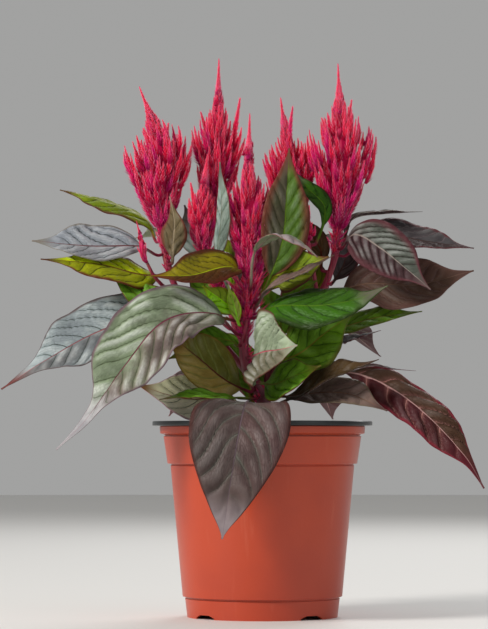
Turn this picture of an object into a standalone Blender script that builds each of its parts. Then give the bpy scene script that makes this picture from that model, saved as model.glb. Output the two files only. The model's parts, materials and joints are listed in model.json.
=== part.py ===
"""Plumed celosia in a plastic nursery pot.

Metres, +Z up. The origin is on the surface that the pot stands on, on the pot's axis. -Y is the front.
The pot and the soil are turned, the stems are tubes, and each leaf and each plume is a solid of its own.
"""

import math
import random
from typing import NamedTuple

import bmesh
import bpy
from mathutils import Matrix, Vector
from mathutils.geometry import interpolate_bezier

MM = 0.001
GAP = 0.3


class Stem(NamedTuple):
    """A smooth tube through the route's points, tapering from one radius to the other."""

    route: list
    radius_start: float
    radius_end: float


class Plume(NamedTuple):
    """A flower spike on top of a stem: its axis above the stem, its outline and its spikelets."""

    stem: str
    route: list
    half_width: float
    widest: float
    spikelet_length: float
    spikelets: int
    seed: int


class Leaf(NamedTuple):
    """A blade and its petiole, rooted on a stem: the midrib's route to the tip, and the form round it."""

    stem: str
    root_height: float
    route: list
    half_width: float
    facing: tuple
    fold_degrees: float
    petiole: float
    widest: float
    colour: str


# Pot, in millimetres: radii and heights of its turned profile
RIM_RADIUS = 70.0
POT_HEIGHT = 124.0
LIP_HEIGHT = 3.0
BEAD_RADIUS = 65.4
BAND_RADIUS_TOP = 62.5
BAND_RADIUS_BOTTOM = 60.1
BAND_TOP = 114.5
BAND_BOTTOM = 97.0
WALL_RADIUS_TOP = 58.4
WALL_RADIUS_BOTTOM = 50.4
BASE_TOP = 13.0
BASE_RADIUS_TOP = 49.1
BASE_RADIUS = 47.7
WALL = 1.4
FLOOR_UNDERSIDE = 3.4
FLOOR_TOP = 5.0
FOOT_RADIUS = 11.0
EDGE_ROUND = 0.9
FLOOR_CORNER = 1.2
INSIDE_STEP_RISE = 1.5
POT_STEPS = 32

# Drain notches in the base ring, and holes in the floor between them
NOTCHES = 4
NOTCH_WIDTH = 13.0
NOTCH_HEIGHT = 1.5
NOTCH_CREST_WIDTH = 8.0
NOTCH_CREST_HEIGHT = 2.8
NOTCH_DEPTH = 12.0
DRAIN_RADIUS = 4.0
DRAIN_CIRCLE_RADIUS = 32.0
DRAIN_SIDES = 16

# Soil
SOIL_TOP = 111.0
SOIL_DOME = 2.0
SOIL_SHOULDER_RADIUS = 30.0
SOIL_SHOULDER = 0.6
SOIL_EDGE = 0.5
SOIL_HOLE_RADIUS = 5.8
SOIL_HOLE_FLOOR = 92.0
SOIL_STEPS = 32

# Crown and stems
CROWN_RADIUS = 5.0
CROWN_BOTTOM = SOIL_HOLE_FLOOR + GAP
CROWN_TOP = 120.0
CROWN_TAPER = 0.6
CROWN_SIDES = 10
TUBE_STEP = 14.0
ROUTE_STEPS = 24
THIN_STEM = 2.6
STEMS = {
    "main": Stem([(0, 0, 112), (0, 0, 138), (-8, -3, 153), (-12, -5, 172), (-10, -6, 191), (-8, -8, 213)],
                 4.0, 2.2),
    "right": Stem([(1, 1, 112), (3, 4, 138), (15, 10, 170), (36, 14, 202), (46, 15, 227), (48, 15, 245)],
                  2.8, 2.0),
    "left": Stem([(-8, -3, 153), (-30, 4, 179), (-53, 6, 205), (-61, 8, 226), (-64, 8, 244)], 2.4, 1.9),
    "inner": Stem([(-12, -5, 172), (-24, 0, 201), (-35, 2, 221), (-37, 2, 232)], 2.0, 1.6),
    "rear_left": Stem([(0, 1, 112), (-1, 6, 138), (-14, 18, 176), (-27, 26, 222), (-30, 28, 253)], 2.8, 2.0),
    "rear_right": Stem([(1, 2, 112), (2, 7, 138), (9, 20, 183), (17, 25, 222), (18, 25, 249)], 2.8, 2.0),
    "far_left": Stem([(-53, 6, 205), (-62, -4, 209), (-71, -11, 219), (-73, -12, 224)], 1.4, 1.0),
    "inner_right": Stem([(36, 14, 202), (32, 4, 224), (29, 0, 239)], 1.4, 1.1),
    "bud": Stem([(-12, -5, 172), (-11, -12, 180), (-10, -13, 188)], 1.4, 1.0),
}

PLUMES = {
    "left": Plume("left", [(-67, 8, 279), (-68, 8, 307), (-79, 6, 339)], 21.0, 0.62, 25.0, 46, 9),
    "rear_left": Plume("rear_left", [(-29, 28, 300), (-28, 28, 360)], 17.0, 0.55, 24.0, 46, 7),
    "inner": Plume("inner", [(-38, 0, 262), (-35, 0, 295)], 10.0, 0.5, 17.0, 24, 0),
    "centre": Plume("main", [(-9, -9, 264), (-8, -8, 320)], 15.0, 0.5, 21.0, 46, 8),
    "rear_right": Plume("rear_right", [(17, 25, 293), (12, 24, 334)], 18.0, 0.56, 22.0, 38, 2),
    "right": Plume("right", [(51, 15, 292), (49, 15, 355)], 22.0, 0.60, 25.0, 46, 8),
    "far_left": Plume("far_left", [(-77, -13, 239), (-80, -13, 251)], 3.4, 0.4, 9.0, 9, 6),
    "inner_right": Plume("inner_right", [(30, 0, 262)], 6.5, 0.4, 11.0, 10, 9),
    "bud": Plume("bud", [(-10, -14, 204)], 3.8, 0.4, 8.0, 9, 4),
}
PLUME_FOOT = 0.22
FOOT_CURVE = 1.2
PLUME_SPIKE = 0.2
SHOULDER_DROP = 8.0
PLUME_FRAMES = 48
PLUME_CORE_SHARE = 0.55
CORE_FOOT_RADIUS = 0.9
CORE_TIP_RADIUS = 0.4
PLUME_CORE_SIDES = 6
PLUME_CORE_RINGS = 8
PLUME_SEAT = 0.4
SPIKELET_RADIUS = 3.2
SPIKELET_SINK = 0.6
SPIKELET_TAPER = 0.4
SPIKELET_RISE = 0.85
LOWEST_ROOT = 0.02
LOWEST_TIP = 0.12
HIGHEST_TIP = 0.98
FULL_PLUME = 9.0
GOLDEN_ANGLE = math.radians(137.508)
TURN_SPREAD = 0.2
LENGTH_SPREAD = (0.9, 1.1)
REACH_SPREAD = (0.88, 1.08)

LEAVES = {
    "upper_left_green": Leaf("left", 240, [(-75, 16, 254), (-98, 20, 265), (-131, 26, 274)],
                         13, (0, -0.5, 0.86), 8, 0.14, 0.42, "green"),
    "left_silver": Leaf("left", 231, [(-78, -2, 235), (-109, -10, 235), (-146, -16, 238)],
                    16, (0, -0.8, 0.6), 16, 0.18, 0.42, "silver"),
    "left_lime": Leaf("left", 218, [(-78, -10, 217), (-103, -18, 223), (-140, -22, 226)],
                  13, (0, -0.6, 0.8), 4, 0.12, 0.36, "lime"),
    "left_green": Leaf("main", 187, [(-46, -16, 194), (-75, -18, 201), (-99, -12, 222)],
                   14, (0, -0.75, 0.65), 8, 0.16, 0.42, "green"),
    "left_bronze": Leaf("main", 211, [(-19, -18, 221), (-45, -36, 215), (-70, -44, 214)],
                    17, (0, -0.72, 0.7), 15, 0.08, 0.42, "bronze"),
    "far_left_silver": Leaf("left", 190, [(-72, -2, 191), (-106, -6, 180), (-138, -12, 162),
                                          (-165, -16, 144)],
                        22, (0.1, -0.75, 0.65), 15, 0.1, 0.38, "silver"),
    "front_left_large": Leaf("main", 179, [(-31, -28, 191), (-61, -42, 186), (-85, -58, 158),
                                           (-109, -66, 124), (-127, -66, 106)],
                             25, (-0.15, -0.9, 0.4), 14, 0.12, 0.36, "silver"),
    "left_brown": Leaf("main", 146, [(-24, -22, 150), (-41, -32, 164), (-64, -36, 182)],
                   17, (0, -0.9, 0.4), 10, 0.15, 0.45, "bronze"),
    "low_left_pale": Leaf("main", 133, [(-24, -14, 138), (-49, -26, 138), (-78, -36, 146)],
                      17, (0, -0.9, 0.45), 10, 0.16, 0.5, "pale"),
    "low_left_narrow": Leaf("main", 139, [(-27, -38, 139), (-45, -48, 140), (-64, -54, 137)],
                        8, (0, -0.5, 0.85), 8, 0.3, 0.45, "green"),
    "front_hanging": Leaf("main", 134, [(-7, -30, 135), (-10, -55, 135), (-13, -77, 126), (-18, -88, 98),
                                    (-25, -86, 52)], 31, (-0.1, -1, 0.2), 6, 0.34, 0.3, "burgundy"),
    "front_folded": Leaf("main", 164, [(0, -30, 167), (11, -54, 168), (21, -68, 170)],
                     26, (-0.8, -0.5, 0.25), 20, 0.15, 0.4, "pale"),
    "right_green_large": Leaf("main", 190, [(8, -24, 196), (36, -38, 196), (60, -44, 200), (78, -44, 208)],
                          17, (0, -0.8, 0.6), -8, 0.12, 0.45, "green"),
    "right_round": Leaf("main", 158, [(22, -14, 166), (39, -20, 179), (57, -24, 192)],
                    19, (0.1, -0.95, 0.3), 8, 0.25, 0.42, "green"),
    "right_dark_round": Leaf("main", 148, [(8, -30, 147), (20, -44, 152), (36, -52, 158)],
                         14, (-0.1, -0.9, 0.4), 8, 0.2, 0.45, "green"),
    "right_brown_folded": Leaf("main", 140, [(22, -26, 140), (45, -42, 152), (72, -48, 162)],
                           14, (-0.2, -0.5, 0.85), 18, 0.22, 0.45, "bronze"),
    "low_right_purple": Leaf("main", 133, [(24, -16, 140), (52, -36, 141), (77, -52, 130)],
                         13, (0.1, -0.75, 0.65), 10, 0.2, 0.42, "burgundy"),
    "right_drooping": Leaf("right", 142, [(30, -2, 152), (57, -14, 154), (80, -26, 145), (104, -38, 126),
                                      (126, -46, 101), (137, -48, 82)],
                           18, (0.3, -0.85, 0.45), 12, 0.3, 0.42, "burgundy"),
    "right_back_edge": Leaf("right", 146, [(37, 20, 158), (70, 30, 159), (100, 38, 157)],
                        12, (0, -0.15, 1), 8, 0.2, 0.42, "burgundy"),
    "upper_right_edge": Leaf("right", 241, [(58, 22, 255), (79, 24, 259), (104, 28, 260)],
                         11, (0, -0.1, 1), 6, 0.12, 0.4, "bronze"),
    "right_striped": Leaf("right", 235, [(59, 0, 243), (74, -14, 234), (90, -26, 220), (105, -36, 206)],
                      17, (-0.2, -0.8, 0.55), 12, 0.1, 0.42, "burgundy"),
    "upper_right_dark": Leaf("right", 231, [(73, 18, 244), (105, 16, 240), (136, 10, 235)],
                         16, (0.1, -0.6, 0.8), 10, 0.12, 0.4, "burgundy"),
    "right_burgundy": Leaf("right", 208, [(66, 8, 212), (98, 4, 211), (135, 0, 220)],
                       21, (0, -0.85, 0.5), 12, 0.12, 0.42, "burgundy"),
    "right_green_small": Leaf("right", 176, [(44, 12, 181), (72, 6, 190), (102, 0, 194)],
                          11, (0, -0.6, 0.8), 8, 0.2, 0.42, "green"),
    "right_curled": Leaf("right", 166, [(44, 24, 173), (77, 28, 183)],
                     9, (0, -0.2, 1), 8, 0.25, 0.42, "burgundy"),
    "centre_erect": Leaf("main", 200, [(6, -14, 218), (13, -15, 240), (15, -17, 263), (17, -14, 297)],
                     16, (0.15, -1, 0), 14, 0.22, 0.4, "green"),
    "centre_lance": Leaf("inner_right", 236, [(40, 4, 260), (29, 0, 273), (18, -4, 285)],
                     6, (0.3, -0.9, 0.3), 8, 0.25, 0.45, "green"),
    "left_erect_silver": Leaf("main", 198, [(-28, -7, 226), (-26, -16, 254), (-27, -17, 288)],
                          8, (-0.5, -0.85, 0), 10, 0.3, 0.45, "silver"),
    "inner_lime": Leaf("main", 195, [(-21, 2, 226), (-30, 6, 245)],
                   10, (-0.2, -1, 0), 8, 0.35, 0.45, "lime"),
    "centre_arched": Leaf("main", 208, [(-4, -30, 232), (11, -42, 240), (25, -50, 233), (34, -54, 225)],
                      9, (0.1, -0.35, 0.93), 8, 0.12, 0.42, "silver"),
    "centre_olive": Leaf("main", 205, [(8, -7, 216), (24, -14, 221), (42, -17, 228)],
                     16, (0, -0.9, 0.4), 8, 0.12, 0.45, "bronze"),
    "centre_narrow": Leaf("main", 196, [(5, -24, 208), (23, -32, 216), (45, -32, 228)],
                      7, (-0.5, -0.3, 0.85), 8, 0.15, 0.45, "burgundy"),
    "left_erect_brown": Leaf("left", 224, [(-57, -4, 236), (-56, -7, 251), (-59, -7, 267)],
                         9, (0.2, -1, 0), 10, 0.18, 0.42, "bronze"),
    "left_erect_pale": Leaf("inner", 226, [(-44, 12, 240), (-46, 12, 251), (-50, 12, 263)],
                        9, (-0.2, -1, 0), 8, 0.2, 0.45, "pale"),
    "inner_yellow": Leaf("main", 195, [(-17, -12, 194), (-27, -18, 201), (-38, -22, 209)],
                     8, (-0.3, -0.9, 0.3), 8, 0.15, 0.45, "lime"),
    "inner_slim": Leaf("main", 185, [(-17, -17, 194), (-22, -20, 210)],
                   4, (-0.3, -0.9, 0.1), 6, 0.2, 0.45, "lime"),
    "inner_dark": Leaf("main", 172, [(-19, -14, 174), (-32, -18, 177), (-45, -20, 180)],
                   8, (0, -0.8, 0.6), 8, 0.2, 0.45, "green"),
    "inner_shaded": Leaf("rear_left", 150, [(-17, 8, 162), (-30, 14, 171), (-43, 18, 176)],
                     14, (0, -0.9, 0.4), 8, 0.2, 0.45, "green"),
    "back_right": Leaf("rear_right", 170, [(35, 42, 186), (58, 70, 184), (80, 96, 168)],
                   18, (0.5, 0.6, 0.7), 12, 0.18, 0.4, "bronze"),
    "back_middle": Leaf("rear_right", 190, [(14, 50, 204), (14, 82, 206), (10, 118, 194)],
                    19, (0, 0.5, 0.85), 12, 0.18, 0.4, "green"),
    "back_left": Leaf("rear_left", 186, [(-40, 46, 200), (-60, 68, 200), (-84, 92, 184)],
                  19, (-0.5, 0.6, 0.7), 12, 0.18, 0.4, "silver"),
    "back_low_left": Leaf("rear_left", 140, [(-24, 30, 152), (-44, 62, 150), (-62, 96, 128)],
                      22, (-0.4, 0.6, 0.7), 12, 0.18, 0.38, "burgundy"),
    "back_low_right": Leaf("rear_right", 142, [(22, 30, 152), (38, 62, 148), (48, 100, 126)],
                       22, (0.4, 0.6, 0.7), 12, 0.18, 0.38, "burgundy"),
    "back_upper_left": Leaf("rear_left", 228, [(-44, 42, 242), (-62, 60, 248), (-86, 78, 246)],
                        14, (-0.4, 0.5, 0.8), 10, 0.15, 0.42, "green"),
    "back_upper_right": Leaf("rear_right", 228, [(30, 42, 242), (44, 62, 246), (58, 88, 240)],
                         14, (0.4, 0.5, 0.8), 10, 0.15, 0.42, "bronze"),
}
BLADE = 0.8
PETIOLE_THICKNESS = 1.9
PETIOLE_HALF_WIDTH = 1.0
PETIOLE_START = 4.0
PETIOLE_GAP = 0.45
TIP_HALF_WIDTH = 0.55
TIP_SHARPNESS = 1.15
THINNING_START = 0.8
THINNING_LENGTH = 0.12
EDGE_WAVE = 0.05
EDGE_WAVES = 3
WAVE_SHIFT = 1.9
LARGE_HALF_WIDTH = 13
LARGE_STATIONS, LARGE_COLUMNS = 9, 4
SMALL_STATIONS, SMALL_COLUMNS = 7, 2
FRAMES_PER_STATION = 4
LEAF_ROUGHNESS = 0.5
CREASE_ANGLE = math.radians(35)
LEAF_COLOURS = {
    "green": (0.07, 0.17, 0.03),
    "silver": (0.26, 0.29, 0.27),
    "lime": (0.22, 0.28, 0.04),
    "bronze": (0.10, 0.07, 0.03),
    "burgundy": (0.08, 0.025, 0.035),
    "pale": (0.40, 0.45, 0.33),
}


def clear_scene():
    for old in list(bpy.data.objects):
        bpy.data.objects.remove(old)


def new_collection(name):
    collection = bpy.data.collections.new(name)
    bpy.context.scene.collection.children.link(collection)
    return collection


def material(name, colour, roughness):
    made = bpy.data.materials.new(name)
    made.use_nodes = True
    shader = made.node_tree.nodes["Principled BSDF"]
    shader.inputs["Base Color"].default_value = (*colour, 1.0)
    shader.inputs["Roughness"].default_value = roughness
    shader.inputs["Metallic"].default_value = 0.0
    return made


def object_from(name, mesh, collection):
    made = bpy.data.objects.new(name, mesh)
    collection.objects.link(made)
    return made


def mesh_from(bm, name):
    """The bmesh as a new mesh, in metres from millimetres."""
    bmesh.ops.scale(bm, vec=(MM, MM, MM), verts=bm.verts)
    mesh = bpy.data.meshes.new(name)
    bm.to_mesh(mesh)
    bm.free()
    return mesh


def evaluated_mesh(obj):
    """A plain mesh of what the object's modifiers or curve make."""
    bpy.context.view_layer.update()
    graph = bpy.context.evaluated_depsgraph_get()
    return bpy.data.meshes.new_from_object(obj.evaluated_get(graph))


def largest_shell(mesh):
    """The mesh in triangles, without the scraps and sealed pockets that a union can leave."""
    bm = bmesh.new()
    bm.from_mesh(mesh)
    shells = []
    waiting = set(bm.faces)
    while waiting:
        shell = {waiting.pop()}
        edge_of_shell = list(shell)
        while edge_of_shell:
            face = edge_of_shell.pop()
            for edge in face.edges:
                fresh = [other for other in edge.link_faces if other in waiting]
                waiting.difference_update(fresh)
                shell.update(fresh)
                edge_of_shell += fresh
        shells.append(shell)
    largest = max(shells, key=len)
    for shell in shells:
        if shell is not largest:
            bmesh.ops.delete(bm, geom=list(shell), context="FACES")
    bmesh.ops.triangulate(bm, faces=bm.faces, ngon_method="BEAUTY")
    bm.to_mesh(mesh)
    bm.free()
    return mesh


def fuse(name, pieces, collection, solver):
    """One solid of all the pieces, which it removes."""
    body = pieces[0]
    rest = new_collection(name + " pieces")
    for piece in pieces[1:]:
        rest.objects.link(piece)
        collection.objects.unlink(piece)
    join = body.modifiers.new("Join", "BOOLEAN")
    join.operation = "UNION"
    join.operand_type = "COLLECTION"
    join.collection = rest
    join.solver = solver
    fused = object_from(name, largest_shell(evaluated_mesh(body)), collection)
    for piece in pieces:
        bpy.data.objects.remove(piece)
    bpy.data.collections.remove(rest)
    return fused


def turned(name, profile, steps, collection):
    """A closed solid turned round Z from (radius, height) points that start and end on the axis."""
    bm = bmesh.new()
    points = [bm.verts.new((radius, 0.0, height)) for radius, height in profile]
    for first, second in zip(points, points[1:]):
        bm.edges.new((first, second))
    made = object_from(name, mesh_from(bm, name), collection)
    screw = made.modifiers.new("Turn", "SCREW")
    screw.axis = "Z"
    screw.angle = math.tau
    screw.steps = steps
    screw.render_steps = steps
    screw.use_merge_vertices = True
    screw.merge_threshold = 0.0001
    return made


def smooth_route(points, count):
    """count + 1 points at even distances along a smooth curve through the given points."""
    knots = [Vector(point) for point in points]
    slopes = []
    for i, knot in enumerate(knots):
        before = knots[max(i - 1, 0)]
        after = knots[min(i + 1, len(knots) - 1)]
        slopes.append((after - before).normalized())
    fine = [knots[0]]
    for i in range(len(knots) - 1):
        reach = (knots[i + 1] - knots[i]).length / 3
        handle_out = knots[i] + slopes[i] * reach
        handle_in = knots[i + 1] - slopes[i + 1] * reach
        fine += interpolate_bezier(knots[i], handle_out, handle_in, knots[i + 1], ROUTE_STEPS)[1:]
    distances = [0.0]
    for first, second in zip(fine, fine[1:]):
        distances.append(distances[-1] + (second - first).length)
    route = []
    place = 0
    for step in range(count + 1):
        wanted = distances[-1] * step / count
        while place < len(fine) - 2 and distances[place + 1] < wanted:
            place += 1
        share = (wanted - distances[place]) / (distances[place + 1] - distances[place])
        route.append(fine[place].lerp(fine[place + 1], min(share, 1.0)))
    return route


def tangents_of(route):
    tangents = []
    for i in range(len(route)):
        before = route[max(i - 1, 0)]
        after = route[min(i + 1, len(route) - 1)]
        tangents.append((after - before).normalized())
    return tangents


def frames_along(route, facing):
    """(tangent, side, normal) at each point: the middle one faces as told, the rest follow it untwisted."""
    tangents = tangents_of(route)
    middle = len(route) // 2
    normals = [None] * len(route)
    toward = Vector(facing)
    normals[middle] = (toward - toward.project(tangents[middle])).normalized()
    for i in range(middle + 1, len(route)):
        turn = tangents[i - 1].rotation_difference(tangents[i])
        normals[i] = turn @ normals[i - 1]
    for i in range(middle - 1, -1, -1):
        turn = tangents[i + 1].rotation_difference(tangents[i])
        normals[i] = turn @ normals[i + 1]
    return [(t, n.cross(t).normalized(), n) for t, n in zip(tangents, normals)]


def stem_axis(stem):
    """The stem's tube as (point, radius) pairs."""
    tube_of = STEMS[stem]
    length = sum((Vector(b) - Vector(a)).length for a, b in zip(tube_of.route, tube_of.route[1:]))
    route = smooth_route(tube_of.route, max(4, round(length / TUBE_STEP)))
    taper = (tube_of.radius_end - tube_of.radius_start) / (len(route) - 1)
    return [(place, tube_of.radius_start + taper * i) for i, place in enumerate(route)]


def tube(name, axis, bevel_resolution, collection):
    """A tapered round tube through (point, radius) pairs, as a closed mesh."""
    data = bpy.data.curves.new(name, "CURVE")
    data.dimensions = "3D"
    data.bevel_depth = MM
    data.bevel_resolution = bevel_resolution
    data.use_fill_caps = True
    spline = data.splines.new("POLY")
    spline.points.add(len(axis) - 1)
    for point, (place, radius) in zip(spline.points, axis):
        point.co = (*(place * MM), 1.0)
        point.radius = radius
    curve = object_from(name, data, collection)
    mesh = evaluated_mesh(curve)
    bpy.data.objects.remove(curve)
    bm = bmesh.new()
    bm.from_mesh(mesh)
    bmesh.ops.remove_doubles(bm, verts=bm.verts, dist=0.00001)
    bmesh.ops.recalc_face_normals(bm, faces=bm.faces)
    bm.to_mesh(mesh)
    bm.free()
    return object_from(name, mesh, collection)


def pot_profile():
    """The inside from the floor's centre up to the lip, then the outside down to the centre foot."""
    inside_top = BAND_RADIUS_TOP - WALL
    return [
        (0.0, FLOOR_TOP),
        (BASE_RADIUS_TOP - WALL - FLOOR_CORNER, FLOOR_TOP),
        (WALL_RADIUS_BOTTOM - WALL, BASE_TOP + INSIDE_STEP_RISE),
        (WALL_RADIUS_TOP - WALL, BAND_BOTTOM - 1.0),
        (BAND_RADIUS_BOTTOM - WALL, BAND_BOTTOM + INSIDE_STEP_RISE),
        (inside_top, BAND_TOP),
        (inside_top + 1.6, POT_HEIGHT - 1.5),
        (inside_top + 2.6, POT_HEIGHT),
        (RIM_RADIUS - EDGE_ROUND, POT_HEIGHT),
        (RIM_RADIUS, POT_HEIGHT - EDGE_ROUND),
        (RIM_RADIUS, POT_HEIGHT - LIP_HEIGHT + 0.5),
        (RIM_RADIUS - EDGE_ROUND, POT_HEIGHT - LIP_HEIGHT),
        (BEAD_RADIUS, POT_HEIGHT - LIP_HEIGHT),
        (BEAD_RADIUS - 0.5, POT_HEIGHT - 5.5),
        (BEAD_RADIUS - 1.9, POT_HEIGHT - 8.0),
        (BAND_RADIUS_TOP, BAND_TOP),
        (BAND_RADIUS_BOTTOM, BAND_BOTTOM),
        (WALL_RADIUS_TOP, BAND_BOTTOM - 2.0),
        (WALL_RADIUS_BOTTOM, BASE_TOP),
        (BASE_RADIUS_TOP, BASE_TOP - 0.6),
        (BASE_RADIUS, 0.0),
        (BASE_RADIUS - WALL, 0.0),
        (BASE_RADIUS - WALL + 0.1, FLOOR_UNDERSIDE),
        (FOOT_RADIUS + 0.6, FLOOR_UNDERSIDE),
        (FOOT_RADIUS, 0.0),
        (0.0, 0.0),
    ]


def drain_cutters(cutters):
    """Stepped notches through the base ring on the diagonals, and round holes in the floor between them."""
    for i in range(NOTCHES):
        angle = math.tau * (i + 0.5) / NOTCHES
        between = math.tau * i / NOTCHES
        turn = Matrix.Rotation(angle, 4, "Z")
        for width, height in ((NOTCH_WIDTH, NOTCH_HEIGHT), (NOTCH_CREST_WIDTH, NOTCH_CREST_HEIGHT)):
            bm = bmesh.new()
            bmesh.ops.create_cube(bm, size=1.0)
            bmesh.ops.scale(bm, vec=(NOTCH_DEPTH, width, height + 1.0), verts=bm.verts)
            bmesh.ops.translate(bm, vec=(BASE_RADIUS, 0.0, (height - 1.0) / 2), verts=bm.verts)
            bmesh.ops.transform(bm, matrix=turn, verts=bm.verts)
            object_from("notch cutter", mesh_from(bm, "notch"), cutters)
        bm = bmesh.new()
        bmesh.ops.create_cone(bm, cap_ends=True, segments=DRAIN_SIDES, radius1=DRAIN_RADIUS,
                              radius2=DRAIN_RADIUS, depth=FLOOR_TOP + GAP)
        bmesh.ops.translate(bm, vec=(DRAIN_CIRCLE_RADIUS, 0.0, FLOOR_TOP), verts=bm.verts)
        bmesh.ops.transform(bm, matrix=Matrix.Rotation(between, 4, "Z"), verts=bm.verts)
        object_from("drain cutter", mesh_from(bm, "drain"), cutters)
    for cutter in cutters.objects:
        cutter.hide_render = True
        cutter.display_type = "WIRE"


def build_pot(collection, cutters):
    pot = turned("pot", pot_profile(), POT_STEPS, collection)
    drain_cutters(cutters)
    drains = pot.modifiers.new("Drains", "BOOLEAN")
    drains.operand_type = "COLLECTION"
    drains.collection = cutters
    drains.solver = "EXACT"
    pot.data.materials.append(material("terracotta plastic", (0.55, 0.09, 0.04), 0.42))


def build_soil(collection):
    inside_top = BAND_RADIUS_TOP - WALL - GAP
    floor = FLOOR_TOP + GAP
    profile = [
        (0.0, SOIL_HOLE_FLOOR),
        (SOIL_HOLE_RADIUS, SOIL_HOLE_FLOOR),
        (SOIL_HOLE_RADIUS, SOIL_TOP + SOIL_DOME),
        (SOIL_SHOULDER_RADIUS, SOIL_TOP + SOIL_SHOULDER * SOIL_DOME),
        (inside_top - SOIL_EDGE, SOIL_TOP),
        (BAND_RADIUS_BOTTOM - WALL - GAP, BAND_BOTTOM + INSIDE_STEP_RISE),
        (WALL_RADIUS_TOP - WALL - GAP, BAND_BOTTOM - 1.0),
        (WALL_RADIUS_BOTTOM - WALL - GAP, BASE_TOP + INSIDE_STEP_RISE),
        (BASE_RADIUS_TOP - WALL - FLOOR_CORNER - GAP, floor),
        (0.0, floor),
    ]
    soil = turned("soil", profile, SOIL_STEPS, collection)
    soil.data.materials.append(material("potting mix", (0.035, 0.022, 0.016), 0.95))


def build_stems(collection):
    bm = bmesh.new()
    bmesh.ops.create_cone(bm, cap_ends=True, segments=CROWN_SIDES, radius1=CROWN_RADIUS,
                          radius2=CROWN_RADIUS - CROWN_TAPER, depth=CROWN_TOP - CROWN_BOTTOM)
    bmesh.ops.translate(bm, vec=(0.0, 0.0, (CROWN_TOP + CROWN_BOTTOM) / 2), verts=bm.verts)
    pieces = [object_from("crown", mesh_from(bm, "crown"), collection)]
    for name, stem in STEMS.items():
        pieces.append(tube(name, stem_axis(name), 2 if stem.radius_start > THIN_STEM else 1, collection))
    stems = fuse("stems", pieces, collection, "EXACT")
    stems.data.materials.append(material("red stem", (0.32, 0.015, 0.05), 0.45))


def root_on_stem(stem, height, toward):
    """Two points: just off the stem's bark at that height towards the given point, and farther out."""
    axis = stem_axis(stem)
    place = 0
    while place < len(axis) - 2 and axis[place + 1][0].z < height:
        place += 1
    (low, low_radius), (high, high_radius) = axis[place], axis[place + 1]
    share = (height - low.z) / (high.z - low.z)
    centre = low.lerp(high, share)
    tangent = (high - low).normalized()
    out = Vector(toward) - centre
    out = (out - out.project(tangent)).normalized()
    bark = low_radius + (high_radius - low_radius) * share + PETIOLE_GAP
    return [centre + out * bark, centre + out * (bark + PETIOLE_START)]


def leaf_half_width(leaf, along):
    """Half the blade's width at a share of the leaf's length: slim petiole, full blade and drawn-out tip."""
    if along <= leaf.petiole:
        return PETIOLE_HALF_WIDTH
    blade = (along - leaf.petiole) / (1.0 - leaf.petiole)
    rise = TIP_SHARPNESS * leaf.widest / (1.0 - leaf.widest)
    shape = (blade / leaf.widest) ** rise * ((1.0 - blade) / (1.0 - leaf.widest)) ** TIP_SHARPNESS
    return max(PETIOLE_HALF_WIDTH * (1.0 - blade) + TIP_HALF_WIDTH * blade, leaf.half_width * shape)


def build_leaf(name, leaf, collection, look):
    """A sheet bent along the midrib, folded and waved, then thickened: thin blade and thick petiole."""
    large = leaf.half_width >= LARGE_HALF_WIDTH
    stations = LARGE_STATIONS if large else SMALL_STATIONS
    columns = LARGE_COLUMNS if large else SMALL_COLUMNS
    root = root_on_stem(leaf.stem, leaf.root_height, leaf.route[0])
    route = smooth_route([*root, *leaf.route], stations * FRAMES_PER_STATION)
    frames = frames_along(route, leaf.facing)
    bm = bmesh.new()
    bmesh.ops.create_grid(bm, x_segments=stations, y_segments=columns, size=1.0)
    thickness = {}
    for vert in bm.verts:
        along = (vert.co.x + 1.0) / 2
        across = vert.co.y
        place = round(along * stations * FRAMES_PER_STATION)
        _, side, normal = frames[place]
        width = leaf_half_width(leaf, along)
        fold = math.radians(leaf.fold_degrees) * min(1.0, 2.0 * width / leaf.half_width)
        shift = 0.0 if across > 0 else WAVE_SHIFT
        wave = EDGE_WAVE * width * math.sin(math.tau * EDGE_WAVES * along + shift)
        lift = abs(across) * width * math.sin(fold) + across * across * wave
        vert.co = route[place] + side * (across * width * math.cos(fold)) + normal * lift
        blade = min(1.0, max(0.0, (along - THINNING_START * leaf.petiole) / THINNING_LENGTH))
        thickness[vert.index] = (PETIOLE_THICKNESS + (BLADE - PETIOLE_THICKNESS) * blade) / PETIOLE_THICKNESS
    bmesh.ops.triangulate(bm, faces=bm.faces, quad_method="FIXED")
    made = object_from(name, mesh_from(bm, name), collection)
    group = made.vertex_groups.new(name="thickness")
    for index, share in thickness.items():
        group.add([index], share, "REPLACE")
    shell = made.modifiers.new("Thickness", "SOLIDIFY")
    shell.thickness = PETIOLE_THICKNESS * MM
    shell.offset = 0.0
    shell.vertex_group = group.name
    made.data.materials.append(look)


def plume_radius(plume, along):
    """The plume's outline: a slim foot, a swelling body, and a sudden fall to a long spike."""
    if along < plume.widest:
        swell = math.sin(math.pi / 2 * along / plume.widest) ** FOOT_CURVE
        return plume.half_width * (PLUME_FOOT + (1.0 - PLUME_FOOT) * swell)
    fall = (along - plume.widest) / (1.0 - plume.widest)
    shoulder = math.exp(-SHOULDER_DROP * fall * fall)
    return plume.half_width * (PLUME_SPIKE * (1.0 - fall) + (1.0 - PLUME_SPIKE) * shoulder)


def plume_axis(plume):
    """The axis from just above the stem's end, leaving it in the stem's own direction."""
    axis = stem_axis(plume.stem)
    end = axis[-1][0]
    upward = (end - axis[-2][0]).normalized()
    foot = [end + upward * PLUME_SEAT, end + upward * (PLUME_SEAT + PETIOLE_START)]
    return smooth_route([*foot, *plume.route], PLUME_FRAMES)


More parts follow.
